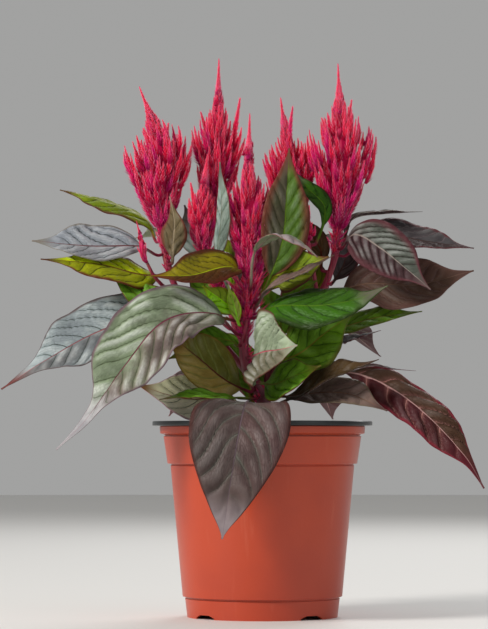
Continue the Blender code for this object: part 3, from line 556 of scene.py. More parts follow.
# %% Cut the drains
POT_STEPS = 160
NOTCHES = 4
NOTCH_STEPS = ((17.0, 1.3), (14.0, 2.0), (10.5, 2.6))
NOTCH_TURN = math.radians(-5)
NOTCH_DEPTH = 12.0
BELOW_THE_BASE = 1.0
DRAIN_RADIUS = 4.0
DRAIN_CIRCLE_RADIUS = 32.0
DRILL_LENGTH = 8.0


def evaluated_mesh(obj):
    """A plain mesh of what the object's modifiers make."""
    bpy.context.view_layer.update()
    return bpy.data.meshes.new_from_object(obj.evaluated_get(bpy.context.evaluated_depsgraph_get()))


def without(obj, cutters):
    """Cuts the cutters out of the object's mesh, and removes them."""
    for cutter in cutters:
        cut = obj.modifiers.new("Cut", "BOOLEAN")
        cut.object = cutter
        cut.solver = "EXACT"
    mesh = evaluated_mesh(obj)
    obj.modifiers.clear()
    obj.data = mesh
    for cutter in cutters:
        bpy.data.objects.remove(cutter)


pot = linked("nursery_pot", mesh_from(spun(POT_SECTION, POT_STEPS), "nursery pot"))
cutters = []
for i in range(NOTCHES):
    turn = Matrix.Rotation(math.tau * (i + 0.5) / NOTCHES + NOTCH_TURN, 4, "Z")
    for width, height in NOTCH_STEPS:
        block = bmesh.new()
        bmesh.ops.create_cube(block, size=1.0)
        bmesh.ops.scale(block, vec=(NOTCH_DEPTH, width, height + BELOW_THE_BASE), verts=block.verts)
        centre = Vector((BASE_RADIUS, 0.0, (height - BELOW_THE_BASE) / 2))
        bmesh.ops.translate(block, vec=centre, verts=block.verts)
        bmesh.ops.transform(block, matrix=turn, verts=block.verts)
        cutters.append(linked("notch", mesh_from(block, "notch")))
    drill = bmesh.new()
    bmesh.ops.create_cone(drill, cap_ends=True, segments=32, radius1=DRAIN_RADIUS, radius2=DRAIN_RADIUS,
                          depth=DRILL_LENGTH)
    bmesh.ops.translate(drill, vec=(DRAIN_CIRCLE_RADIUS, 0.0, FLOOR_TOP), verts=drill.verts)
    bmesh.ops.transform(drill, matrix=Matrix.Rotation(math.tau * i / NOTCHES, 4, "Z"), verts=drill.verts)
    cutters.append(linked("drill", mesh_from(drill, "drill")))
without(pot, cutters)
print("pot faces:", len(pot.data.polygons))

# %% [markdown]
# Formed plastic isn't one flat colour: the pigment flows in clouds, and handling leaves faint upright scuffs.
# Both skins of the pot wear alike, so wear is a node group that gives masks. Each skin has its own amounts.

# %% Plastic that has been handled
wear, given, result = new_group("handling", ["Fineness"], [], [("Scuffs", "NodeSocketFloat"),
                                                               ("Clouds", "NodeSocketFloat"),
                                                               ("Grain", "NodeSocketFloat")])
place = object_place(wear)
streaks = speckle(wear, stretched(wear, place, (1.0, 1.0, 0.12)), 160.0, 4.0)
wear.links.new(ramp(wear, streaks, 0.60, 0.78), result.inputs["Scuffs"])
wear.links.new(speckle(wear, place, 14.0, 4.0), result.inputs["Clouds"])
grain = add(wear, "ShaderNodeTexNoise", {"Vector": place, "Scale": given["Fineness"], "Detail": 2.0})
wear.links.new(grain.outputs["Fac"], result.inputs["Grain"])


def plastic_look(name, colour, clouded, scuffed, roughness, scuff_amount):
    """Moulded plastic with pigment clouds, faint upright scuffs and a fine grain."""
    look, tree, shader = new_look(name, specular_ior_level=0.5)
    handled = add(tree, "ShaderNodeGroup", node_tree=wear)
    handled.inputs["Fineness"].default_value = 900.0
    body = blend(tree, ramp(tree, handled.outputs["Clouds"], 0.35, 0.65), linear(colour), linear(clouded))
    amount = maths(tree, "MULTIPLY", handled.outputs["Scuffs"], scuff_amount)
    tree.links.new(blend(tree, amount, body, linear(scuffed)), shader.inputs["Base Color"])
    gloss = maths(tree, "MULTIPLY_ADD", handled.outputs["Clouds"], 0.16, roughness - 0.08)
    tree.links.new(gloss, shader.inputs["Roughness"])
    bump(tree, shader, handled.outputs["Grain"], 0.00006)
    return look


terracotta = plastic_look("terracotta plastic", "BC4322", "B03E24", "C9654A", 0.36, 0.30)
black_skin = plastic_look("black plastic", "15191B", "1B2022", "3A4042", 0.30, 0.35)
print("plastics:", terracotta.name, "and", black_skin.name)

# %% [markdown]
# A pot of this kind is formed from a sheet of two colours, so its black side also turns over the lip.
# One mesh can carry both plastics: a face is black where it looks into the pot, or belongs to the lip.
# The edges are rounded last, because the cuts leave them sharp and a formed pot has no sharp edge.

# %% Dress the pot
ROUNDING = 0.3
ROUNDED_ABOVE = math.radians(28)
SHADED_SHARP_ABOVE = math.radians(50)
INWARD_LIMIT = -0.05
TERRACOTTA_SLOT = 0
BLACK_SLOT = 1

pot.data.materials.clear()
pot.data.materials.append(terracotta)
pot.data.materials.append(black_skin)
for face in pot.data.polygons:
    centre = face.center / MM
    inward = face.normal.xy.dot(centre.xy) < INWARD_LIMIT * centre.xy.length
    inside = centre.z > FLOOR_TOP - 0.2 and (inward or face.normal.z > 0.9)
    lip = centre.z > LIP_UNDERSIDE - 0.1
    face.material_index = BLACK_SLOT if inside or lip else TERRACOTTA_SLOT
rounded = pot.modifiers.new("Rounded", "BEVEL")
rounded.width = ROUNDING * MM
rounded.segments = 3
rounded.limit_method = "ANGLE"
rounded.angle_limit = ROUNDED_ABOVE
pot.data.shade_smooth()
pot.data.set_sharp_from_angle(angle=SHADED_SHARP_ABOVE)
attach(pot, "root")
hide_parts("pot")
print("black faces:", sum(face.material_index == BLACK_SLOT for face in pot.data.polygons))

# %% [markdown]
# The soil fills the pot to a little below the rim, and its top is a low dome.
# It is turned like the pot, a small gap inside it, and noise then roughens the top.

# %% The soil's body
SOIL_TOP = 111.0
SOIL_DOME = 2.0
SOIL_EDGE = 0.5
SOIL_GAP = 0.3
SOIL_STEPS = 96
SOIL_RINGS = 30
# how fine, how high
LUMPS = ((0.11, 1.3), (0.45, 0.8))


def soil_height(radius):
    """A low dome, with its edge a little down at the pot's wall."""
    return SOIL_TOP + SOIL_DOME * (1.0 - radius / INSIDE_TOP)


soil_radius = INSIDE_TOP - SOIL_GAP
section = []
for i in range(SOIL_RINGS + 1):
    radius = (soil_radius - SOIL_EDGE) * i / SOIL_RINGS
    section.append((radius, soil_height(radius)))
section += [
    (BAND_RADIUS_BOTTOM - WALL - SOIL_GAP, BAND_BOTTOM + INSIDE_STEP_RISE),
    (WALL_RADIUS_TOP - WALL - SOIL_GAP, BAND_BOTTOM - 1.0),
    (WALL_RADIUS_BOTTOM - WALL - SOIL_GAP, BASE_TOP + INSIDE_STEP_RISE),
    (BASE_RADIUS_TOP - WALL - FLOOR_CORNER - SOIL_GAP, FLOOR_TOP + SOIL_GAP),
    (0.0, FLOOR_TOP + SOIL_GAP),
]
bm = spun(section, SOIL_STEPS)
for vert in bm.verts:
    if vert.co.z > SOIL_TOP - 1.0:
        vert.co.z += sum(noise.noise(vert.co * fineness) * height for fineness, height in LUMPS)
print("faces of the soil's body:", len(bm.faces))

# %% [markdown]
# Loose crumbs of peat and a few white perlite grains lie on the soil.
# They are squashed balls. One ball is modelled for each material, and turned and scaled copies are added.
# Copying a finished mesh is much quicker than building each crumb anew.

# %% Loose crumbs
CRUMBS = 900
PERLITE_SHARE = 0.07
CROWN_CLEARANCE = 7.0
WALL_CLEARANCE = 2.5
CRUMB_SIZES = (0.5, 1.9)
CRUMB_WIDTHS = (0.5, 0.9)
CRUMB_HEIGHTS = (0.35, 0.7)
CRUMB_TILT = 0.4


def pass_on(bm, name):
    """The bmesh as a mesh of its own in millimetres, for a piece that is still to be copied about."""
    mesh = bpy.data.meshes.new(name)
    bm.to_mesh(mesh)
    bm.free()
    return mesh


def add_mesh(bm, mesh):
    """Takes a mesh and its maps into the bmesh, and removes it."""
    bm.from_mesh(mesh)
    bpy.data.meshes.remove(mesh)


draw = random.Random(7)
for material_index, share in ((0, 1.0 - PERLITE_SHARE), (1, PERLITE_SHARE)):
    ball = bmesh.new()
    bmesh.ops.create_icosphere(ball, subdivisions=1, radius=1.0)
    for face in ball.faces:
        face.material_index = material_index
    ball_mesh = pass_on(ball, "crumb")
    for _ in range(round(CRUMBS * share)):
        turn = draw.uniform(0.0, math.tau)
        free = soil_radius - WALL_CLEARANCE - CROWN_CLEARANCE
        radius = CROWN_CLEARANCE + free * math.sqrt(draw.random())
        size = draw.uniform(*CRUMB_SIZES)
        squash = Vector((size, size * draw.uniform(*CRUMB_WIDTHS), size * draw.uniform(*CRUMB_HEIGHTS)))
        height = soil_height(radius) + 0.5 * squash.z
        where = Vector((radius * math.cos(turn), radius * math.sin(turn), height))
        spin = Matrix.Rotation(draw.uniform(0.0, math.tau), 4, "Z")
        spin = spin @ Matrix.Rotation(draw.uniform(-CRUMB_TILT, CRUMB_TILT), 4, "X")
        crumb = ball_mesh.copy()
        crumb.transform(Matrix.Translation(where) @ spin @ Matrix.Diagonal((*squash, 1.0)))
        add_mesh(bm, crumb)
    bpy.data.meshes.remove(ball_mesh)
soil = linked("potting_soil", mesh_from(bm, "potting soil"))
print("faces with the crumbs:", len(soil.data.polygons))

# %% [markdown]
# Peat is dark and quite matt, with lighter brown crumbs in it, and perlite is a chalky white.
# Peat needs noise at two sizes: fine spots for the crumbs, and large ones for damp and dry places.
# Perlite is nearly plain, so a few grey specks are enough.

# %% Dress the soil
SOFT_SHADED_BELOW = math.radians(60)

peat, tree, shader = new_look("peat", roughness=0.95)
place = object_place(tree)
crumbly = ramp(tree, speckle(tree, place, 260.0, 4.0), 0.35, 0.7)
brown = blend(tree, crumbly, linear("1F150F"), linear("4A3424"))
tree.links.new(blend(tree, ramp(tree, speckle(tree, place, 40.0), 0.5, 0.7), brown, linear("2A1D15")),
               shader.inputs["Base Color"])
bump(tree, shader, speckle(tree, place, 900.0, 4.0), 0.0004)
perlite, tree, shader = new_look("perlite", roughness=0.85)
grey = ramp(tree, speckle(tree, object_place(tree), 700.0), 0.4, 0.7)
tree.links.new(blend(tree, grey, linear("E4E0D6"), linear("B9B2A4")), shader.inputs["Base Color"])
soil.data.materials.append(peat)
soil.data.materials.append(perlite)
soil.data.shade_smooth()
soil.data.set_sharp_from_angle(angle=SOFT_SHADED_BELOW)
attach(soil, "root")
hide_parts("soil")
print("soil's materials:", ", ".join(material.name for material in soil.data.materials))

# %% [markdown]
# Stems are fleshy, wine red, and slightly swollen where a leaf joins.
# A cylinder is cut into rings, and each ring is moved to its place on the stem's line and sized there.
# A curve with a bevel would give a tube too, but here each ring can have a radius of its own.

# %% Tubes along a line
TUBE_STEP = 14.0


def sleeve(route, frames, radii, sides):
    """A closed tube along the route, with a radius for each point."""
    bm = bmesh.new()
    bmesh.ops.create_cone(bm, cap_ends=True, segments=sides, radius1=1.0, radius2=1.0, depth=1.0)
    uprights = [edge for edge in bm.edges if abs(edge.verts[0].co.z - edge.verts[1].co.z) > 0.5]
    rings = len(route) - 1
    if rings > 1:
        bmesh.ops.subdivide_edges(bm, edges=uprights, cuts=rings - 1, use_grid_fill=True)
    for vert in bm.verts:
        place = round((vert.co.z + 0.5) * rings)
        _, side, normal = frames[place]
        vert.co = route[place] + (side * vert.co.x + normal * vert.co.y) * radii[place]
    bmesh.ops.recalc_face_normals(bm, faces=bm.faces)
    return bm


def stem_axis(stem):
    """The stem's tube as the solids have it: (point, radius) pairs, about one every 14 mm."""
    tube_of = STEMS[stem]
    length = length_of([Vector(point) for point in tube_of.route])
    route = smooth_route(tube_of.route, max(4, round(length / TUBE_STEP)))
    taper = (tube_of.radius_end - tube_of.radius_start) / (len(route) - 1)
    return [(place, tube_of.radius_start + taper * i) for i, place in enumerate(route)]


print("the main stem's tube has", len(stem_axis("main")), "rings as a solid")

# %% [markdown]
# Every branch starts inside the one that carries it, so no joint shows.
# The girth swells where a leaf joins and is a little uneven between, as on a fleshy stem.
# The crown is a short thick tube that stands in the soil and gathers the stems.

# %% Grow the stems
CROWN_RADIUS = 5.0
CROWN_BOTTOM = 92.3
CROWN_TOP = 120.0
CROWN_RINGS = 12
CROWN_TAPER = 0.12
RING_STEP = 2.5
STEM_SIDES = 16
NODE_SWELLING = 0.45
NODE_LENGTH = 3.0
UNEVEN_GIRTH = 0.04

bm = bmesh.new()
for name, stem in STEMS.items():
    axis = stem_axis(name)
    rough = [point for point, _ in axis]
    rings = round(length_of(rough) / RING_STEP)
    route = smooth_route(rough, rings)
    joints = [leaf.root_height for leaf in LEAVES.values() if leaf.stem == name]
    radii = []
    for i, point in enumerate(route):
        radius = stem.radius_start + (stem.radius_end - stem.radius_start) * i / rings
        swelling = sum(math.exp(-((point.z - height) / NODE_LENGTH) ** 2) for height in joints)
        uneven = 1.0 + UNEVEN_GIRTH * noise.noise(point * 0.2)
        radii.append(radius * uneven + NODE_SWELLING * min(1.0, swelling))
    tube = sleeve(route, frames_along(route, (0.0, -1.0, 0.0)), radii, STEM_SIDES)
    add_mesh(bm, pass_on(tube, "tube"))
crown_route = smooth_route([(0, 0, CROWN_BOTTOM), (0, 0, CROWN_TOP)], CROWN_RINGS)
crown_radii = [CROWN_RADIUS * (1.0 - CROWN_TAPER * (i / CROWN_RINGS) ** 2) for i in range(CROWN_RINGS + 1)]
crown = sleeve(crown_route, frames_along(crown_route, (0, -1, 0)), crown_radii, STEM_SIDES)
add_mesh(bm, pass_on(crown, "crown"))
stems = linked("wine_stems", mesh_from(bm, "wine stems"))
print("stem faces:", len(stems.data.polygons))

# %% [markdown]
# The skin is wine red, darker near the soil and greener in places, with fine lines drawn out upwards.
# The lines are one noise, stretched along the height, that feeds colour, gloss and relief together.

# %% Dress the stems
stem_look, tree, shader = new_look("wine red stem", specular_ior_level=0.5)
place = object_place(tree)
lines = ramp(tree, speckle(tree, stretched(tree, place, (1.0, 1.0, 0.08)), 900.0, 3.0), 0.4, 0.7)
red = blend(tree, lines, linear("A02A48"), linear("7A1632"))
height = add(tree, "ShaderNodeSeparateXYZ", {"Vector": place}).outputs["Z"]
red = blend(tree, ramp(tree, height, 0.12, 0.20), linear("5A1226"), red)
green = ramp(tree, speckle(tree, place, 38.0), 0.55, 0.75, 0.0, 0.5)
tree.links.new(blend(tree, green, red, linear("6E6A30")), shader.inputs["Base Color"])
tree.links.new(ramp(tree, lines, 0.0, 1.0, 0.42, 0.55), shader.inputs["Roughness"])
bump(tree, shader, lines, 0.00008)
stems.data.materials.append(stem_look)
stems.data.shade_smooth()
stems.data.set_sharp_from_angle(angle=SOFT_SHADED_BELOW)
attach(stems, "root")
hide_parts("stems")
print("stem look's nodes:", len(tree.nodes))

# %% [markdown]
# A leaf's look is the plant's signature: olive, silver, plum or wine, each with its veins, rib and rim.
# One node group draws all of them. It works on two maps that the leaf's mesh carries.
# The map named blade says how far along and across a point is, from 0 to 1.
# The map named veins counts side veins along one axis and gives millimetres from the midrib along the other.
# A side vein is then simply where the count is a whole number, so painted veins and modelled ones agree.
# The masks come first: where the veins, the midrib, the fine net between veins and the cloudy spots are.

# %% The leaf pattern's masks
LEAF_COLOURS = ("Body", "Half", "Base", "Tip", "Vein", "Rib", "Rim")
LEAF_AMOUNTS = ("Half share", "Vein share", "Glow", "Tip from", "Rim width", "Mottle", "Patches", "Ridge highlight")
VEIN_WIDTH = 0.055
VEIN_GLOW_WIDTH = 0.22
RIB_WIDTH_ROOT = 1.1
RIB_WIDTH_TIP = 0.25
NET_SCALE = 0.55
NET_STRETCH = 9.0

pattern, given, result = new_group("leaf pattern", LEAF_AMOUNTS, LEAF_COLOURS,
                                   [("Color", "NodeSocketColor"), ("Height", "NodeSocketFloat"),
                                    ("Dullness", "NodeSocketFloat")])
blade = map_values(pattern, "blade")
veins = map_values(pattern, "veins")
place = object_place(pattern)
across = maths(pattern, "MULTIPLY_ADD", blade["Y"], 2.0, -1.0)
edgeward = maths(pattern, "ABSOLUTE", across)
off_rib = maths(pattern, "ABSOLUTE", veins["Y"])
off_vein = maths(pattern, "PINGPONG", veins["X"], 0.5)
short_of_tip = ramp(pattern, blade["X"], 0.70, 0.88, 1.0, 0.0)
fading = maths(pattern, "MULTIPLY", ramp(pattern, edgeward, 0.75, 1.0, 1.0, 0.0), short_of_tip)
vein_core = ramp(pattern, off_vein, 0.3 * VEIN_WIDTH, VEIN_WIDTH, 1.0, 0.0)
vein_line = maths(pattern, "MULTIPLY", vein_core, fading)
vein_glow = maths(pattern, "MULTIPLY", ramp(pattern, off_vein, 0.0, VEIN_GLOW_WIDTH, 1.0, 0.0), fading)
rib_width = ramp(pattern, blade["X"], 0.0, 1.0, RIB_WIDTH_ROOT, RIB_WIDTH_TIP)
rib_line = ramp(pattern, maths(pattern, "DIVIDE", off_rib, rib_width), 0.45, 1.0, 1.0, 0.0)
count_spread = maths(pattern, "MULTIPLY", veins["X"], NET_STRETCH)
net_place = add(pattern, "ShaderNodeCombineXYZ", {"X": count_spread, "Y": veins["Y"]}).outputs[0]
net = add(pattern, "ShaderNodeTexVoronoi", {"Vector": net_place, "Scale": NET_SCALE},
          feature="DISTANCE_TO_EDGE")
net_line = ramp(pattern, net.outputs["Distance"], 0.0, 0.10, 1.0, 0.0)
ridge = maths(pattern, "MULTIPLY", ramp(pattern, off_vein, 0.10, 0.42), short_of_tip)
clouds = speckle(pattern, place, 55.0, 4.0)
cells = speckle(pattern, place, 1500.0, 2.0)
print("nodes for the masks:", len(pattern.nodes))

# %% [markdown]
# The colours are laid over each other like washes: the two halves, the base, the tip, darker spots, a painted
# highlight on the swollen parts, the veins, the rim, and last the midrib and the red stalk.
# Each wash is a blend by one mask. How strong it is comes in through the group's inputs.

# %% The leaf pattern's colours
STALK = "8A2440"
DARKER = (0.52, 0.50, 0.55, 1.0)
# The pale colour that is screened over the swollen panels as a painted highlight.
RIDGE_HIGHLIGHT = (0.34, 0.35, 0.34, 1.0)
NET_SHARE = 0.22

half = maths(pattern, "MULTIPLY", ramp(pattern, across, -0.12, 0.12), given["Half share"])
patch = maths(pattern, "MULTIPLY", maths(pattern, "SUBTRACT", speckle(pattern, place, 30.0, 4.0), 0.5), 4.0)
half = maths(pattern, "MULTIPLY_ADD", patch, given["Patches"], half)
colour = blend(pattern, ramp(pattern, half, 0.0, 1.0), given["Body"], given["Half"])
colour = blend(pattern, ramp(pattern, blade["X"], 0.0, 0.38, 0.85, 0.0), colour, given["Base"])
tip_share = ramp(pattern, maths(pattern, "SUBTRACT", blade["X"], given["Tip from"]), 0.0, 0.16)
colour = blend(pattern, tip_share, colour, given["Tip"])
darker = blend(pattern, 1.0, colour, DARKER, "MULTIPLY")
mottled = maths(pattern, "MULTIPLY", ramp(pattern, clouds, 0.42, 0.70), given["Mottle"])
colour = blend(pattern, mottled, colour, darker)
# Painted highlight: the swollen panels between the veins are lightened in cloudy patches, as light shining on
# them.
highlighted = blend(pattern, 1.0, colour, RIDGE_HIGHLIGHT, "SCREEN")
highlight_share = maths(pattern, "MULTIPLY", ramp(pattern, clouds, 0.62, 0.35), given["Ridge highlight"])
colour = blend(pattern, maths(pattern, "MULTIPLY", ridge, highlight_share), colour, highlighted)
colour = blend(pattern, maths(pattern, "MULTIPLY", vein_glow, given["Glow"]), colour, given["Vein"])
net_share = maths(pattern, "MULTIPLY", maths(pattern, "MULTIPLY", net_line, short_of_tip), NET_SHARE)
colour = blend(pattern, net_share, colour, darker)
colour = blend(pattern, maths(pattern, "MULTIPLY", vein_line, given["Vein share"]), colour, given["Vein"])
rim_start = maths(pattern, "SUBTRACT", 1.0, maths(pattern, "MULTIPLY", given["Rim width"], 2.0))
rim_share = maths(pattern, "DIVIDE", maths(pattern, "SUBTRACT", edgeward, rim_start), given["Rim width"])
rim_line = ramp(pattern, maths(pattern, "MULTIPLY_ADD", patch, 0.25, rim_share), 0.2, 1.7)
colour = blend(pattern, rim_line, colour, given["Rim"])
rib_share = maths(pattern, "MULTIPLY", rib_line, maths(pattern, "MULTIPLY_ADD", tip_share, -0.7, 1.0))
colour = blend(pattern, rib_share, colour, given["Rib"])
colour = blend(pattern, ramp(pattern, blade["X"], 0.05, 0.15, 1.0, 0.0), colour, linear(STALK))
pattern.links.new(colour, result.inputs["Color"])
print("nodes with the colours:", len(pattern.nodes))

# %% [markdown]
# The same masks give the fine relief that is too small to model: sunken veins and rib, net, dents and cells.
# The veins, the net and the dents fade at the tip, where the blade is too narrow for them.
# The clouds also make some spots duller than others.

# %% The leaf pattern's relief
grooves = maths(pattern, "MULTIPLY_ADD", vein_line, -0.5, maths(pattern, "MULTIPLY", net_share, -1.2))
dents = maths(pattern, "MULTIPLY", speckle(pattern, place, 330.0, 2.0), short_of_tip)
dimples = maths(pattern, "MULTIPLY_ADD", dents, 0.35, grooves)
grained = maths(pattern, "MULTIPLY_ADD", cells, 0.18, dimples)
relief = maths(pattern, "MULTIPLY_ADD", maths(pattern, "MULTIPLY", rib_line, short_of_tip), -0.4, grained)
pattern.links.new(relief, result.inputs["Height"])
pattern.links.new(clouds, result.inputs["Dullness"])
print("nodes in the leaf pattern:", len(pattern.nodes))

# %% [markdown]
# Each look is a short row: its colours, and then only the amounts that differ from the plain case.
# Half is the colour of the blade's other half. A look without a Base of its own takes its Body there.
# The underside is plainer and duller than the face: pale on most leaves, and dusky on the dark ones.

# %% Leaf looks
# The pale silver greys of the silver, red_tipped and two_tone looks are partly the leaves' own colour and
# partly painted reflection: the sheen of a bright sky on a darker satin blade.
LOOKS = {
    "olive": dict(Body="7C8A0A", Half="769010", Base="6E980A", Rib="9AA014", Vein="2A2808", Rim="54281A",
                  Tip="4F2510", share=0.8, vein=0.85, glow=0.2, mottle=0.7, patches=0.5, rim=0.14,
                  ridge_highlight=0.05),
    "silver": dict(Body="9298A0", Half="989A9C", Rib="723334", Vein="444C48", Rim="7E7870", Tip="79756C",
                   share=0.5, vein=0.8, glow=0.15, patches=0.35, ridge_highlight=0.6),
    # The lime look's olive Half is partly the leaf's own olive and partly painted shade, for the half that
    # lies in shadow.
    "lime": dict(Body="C8DC08", Half="92980A", Base="7C9A0C", Rib="704807", Vein="36380A", Rim="643015",
                 Tip="4A3228", share=0.9, vein=0.85, glow=0.25, mottle=0.8, patches=0.5, rim=0.12, ridge_highlight=0.0),
    "deep_green": dict(Body="6AA018", Half="6A8A22", Rib="70781C", Vein="2A4A0E", Rim="62381A", Tip="706A28",
                       mottle=0.8, ridge_highlight=0.1),
    "bronze": dict(Body="8A800A", Half="4C2A06", Base="A0B010", Rib="ADBC0C", Vein="3A2408", Rim="501E08",
                   Tip="6D3911", share=1.0, vein=0.7, glow=0.3, rim=0.2, patches=0.5, ridge_highlight=0.0),
    "red_tipped": dict(Body="A0ACAE", Half="605C5C", Rib="9A5F62", Vein="3E4C44", Rim="605454", Tip="5C1608",
                       share=0.7, vein=0.75, glow=0.1, tip=0.80, patches=0.5, ridge_highlight=0.7),
    "two_tone": dict(Body="8A9A7A", Half="766860", Rib="7A3048", Vein="4E5A3C", Rim="705A60", Tip="A8A6A8",
                     share=0.9, vein=0.6, glow=0.2, tip=0.68, patches=0.9, mottle=0.7, ridge_highlight=1.0),
    "copper": dict(Body="66661A", Half="AE9248", Rib="5F101A", Vein="8C9250", Rim="74601E", Tip="8A6428",
                   share=0.8, vein=0.5, glow=0.35, tip=0.7, patches=0.5),
    # The cream look is lighter than the leaf's own colour, near white, as painted light for a leaf that lies
    # in the big front leaf's shade. Its ridge highlight is full for the same reason.
    "cream": dict(Body="FFFFD2", Half="FFFAE4", Rib="A8643F", Vein="4A5424", Rim="C89CA4", Tip="84603A",
                  share=0.5, vein=0.7, glow=0.1, patches=0.3, ridge_highlight=1.0, mottle=0.3),
    "plum": dict(Body="50413E", Half="5A4240", Rib="64525A", Vein="666A60", Rim="4A2A26", Tip="9A8E90",
                 Base="2A2014", share=0.6, vein=0.4, glow=0.3, tip=0.8, patches=0.6, ridge_highlight=0.16),
    "white_green": dict(Body="76705A", Half="A4B494", Rib="C84E68", Vein="42563A", Rim="5E3A28", Tip="929C86",
                        share=0.9, vein=0.7, glow=0.15, patches=0.45, ridge_highlight=0.8),
    "bright_green": dict(Body="366602", Half="2E5402", Base="4A8A08", Rib="4E740C", Vein="163404",
                         Rim="263C06", Tip="686654", share=0.6, vein=0.6, glow=0.3, tip=0.74, rim=0.2,
                         patches=0.4, ridge_highlight=0.0),
    "green": dict(Body="6C9A1A", Half="70A428", Rib="96882E", Vein="2C500E", Rim="5E6420", Tip="667830",
                  rim=0.14, patches=0.4, ridge_highlight=0.1),
    "brown": dict(Body="766848", Half="7E6248", Rib="9A8A70", Vein="4A3E26", Rim="743E2E", Tip="A07A74",
                  rim=0.2, patches=0.6, ridge_highlight=0.3),
    "umber": dict(Body="44300E", Half="5E4424", Rib="562008", Vein="6E5638", Rim="38250F", Tip="443024",
                  rim=0.2, patches=0.4),
    "mauve": dict(Body="7A645A", Half="7A5A54", Rib="7A5640", Vein="8A7A70", Rim="6A5A4A", Tip="4A3434",
                  rim=0.15, glow=0.3, patches=0.6),
    "burgundy": dict(Body="4A0C16", Half="4C3222", Rib="C09490", Vein="B07A72", Rim="7E2634", Tip="5A1C26",
                     Base="5E6A34", share=0.95, vein=0.7, glow=0.3, rim=0.1, patches=0.4, ridge_highlight=0.12),
    "dark": dict(Body="33201F", Half="4A4648", Rib="472D27", Vein="6E6264", Rim="5E2C30", Tip="462C2E",
                 share=0.8, glow=0.3, rim=0.14, patches=0.6),
    "striped": dict(Body="42262A", Half="4E544A", Rib="948880", Vein="241412", Rim="5A2E34", Tip="5E4A48",
                    share=1.0, vein=0.9, glow=0.5, rim=0.2, patches=0.9, ridge_highlight=0.6),
    "dark_burgundy": dict(Body="563C2E", Half="563630", Rib="745848", Vein="7A625E", Rim="5E4038",
                          Tip="4A302A", share=0.6, vein=0.35, glow=0.3, rim=0.2, patches=0.9, ridge_highlight=0.15),
    "half_green": dict(Body="486A12", Half="5C5642", Rib="5A780E", Vein="3A4618", Rim="6C3828", Tip="70443A",
                       share=1.0, vein=0.25, glow=0.1, rim=0.3, patches=0.5),
    "grey_green": dict(Body="7C8C80", Half="84968E", Base="7A8A50", Rib="6E7A68", Vein="4A5A48", Rim="7A5A4A",
                       Tip="5A5450", share=0.7, vein=0.5, patches=0.4, ridge_highlight=0.4),
    # The yellow_green look's bright lime Half and Rib are partly the leaf's own colour and partly painted
    # light, for a leaf that lies in shade.
    "yellow_green": dict(Body="8A9E1C", Half="9EE80A", Rib="A6F40C", Vein="4A6C0C", Rim="86850F",
                         Tip="807E06", vein=0.8, rim=0.15, patches=0.4, share=0.7),
    "pink_silver": dict(Body="A8989A", Half="8E947E", Rib="9E6E62", Vein="7A8068", Rim="8A5E58", Tip="867B6F",
                        share=0.6, vein=0.5, patches=0.4),
    "pale_green": dict(Body="B4C24E", Half="8CC41C", Rib="AAF43E", Vein="5E7E2A", Rim="ACD828", Tip="A8A06A",
                       rim=0.15, patches=0.4),
}
UNDERSIDES = {"pale": "8E9878", "dusky": "6A4E50"}
UNDERSIDE_VEIN = "B0AF9A"
UNDERSIDE_RIB = "A88A84"
DUSKY = ("umber", "plum", "mauve", "burgundy", "dark", "striped", "dark_burgundy", "brown", "two_tone",
         "bronze")


def leaf_look(name, colours, share=0.3, vein=0.6, glow=0.2, tip=0.8, rim=0.06, mottle=0.55, patches=0.2,
              ridge_highlight=0.2, dull=0.5):
    """A blade's material: the leaf pattern with these colours and amounts, and a soft waxy gloss."""
    look, tree, shader = new_look(name, specular_ior_level=0.2, sheen_weight=0.02, sheen_roughness=0.4)
    drawn = add(tree, "ShaderNodeGroup", node_tree=pattern)
    for key in LEAF_COLOURS:
        drawn.inputs[key].default_value = linear(colours.get(key, colours["Body"]))
    for key, value in zip(LEAF_AMOUNTS, (share, vein, glow, tip, rim, mottle, patches, ridge_highlight)):
        drawn.inputs[key].default_value = value
    tree.links.new(drawn.outputs["Color"], shader.inputs["Base Color"])
    roughness = ramp(tree, drawn.outputs["Dullness"], 0.3, 0.7, dull - 0.07, dull + 0.10)
    tree.links.new(roughness, shader.inputs["Roughness"])
    bump(tree, shader, drawn.outputs["Height"], 0.0007)
    return look


upper_looks = {}
for name, row in LOOKS.items():
    colours = {key: value for key, value in row.items() if key in LEAF_COLOURS}
    amounts = {key: value for key, value in row.items() if key not in LEAF_COLOURS}
    upper_looks[name] = leaf_look(name.replace("_", " ") + " leaf", colours, **amounts)
under_looks = {}
for name, code in UNDERSIDES.items():
    colours = {"Body": code, "Vein": UNDERSIDE_VEIN, "Rib": UNDERSIDE_RIB}
    under_looks[name] = leaf_look(name + " underside", colours, dull=0.6)
print("leaf looks:", len(upper_looks), "undersides:", len(under_looks))

# %% [markdown]
# Every leaf has its habits: how much it puckers, how its halves curl, how its tip draws out.
# The plain values suit most leaves. Only those that look different up close have a row of their own.

# %% The leaves' habits
class Habit(NamedTuple):
    """What makes a blade its own.

    relief and rumple scale its puckers and its dents, and wave scales its rippled rim. The curls fold each
    half away, in degrees. drip says from where to where the tip narrows, and how much of its width it loses.
    pitch is the distance between side veins in millimetres, and width scales the blade's half width.
    """

    relief: float = 1.0
    curl_below: float = 0.0
    curl_above: float = 0.0
    drip: tuple = (0.66, 0.90, 0.42)
    pitch: float = 12.0
    width: float = 1.0
    wave: float = 1.0
    rumple: float = 1.0


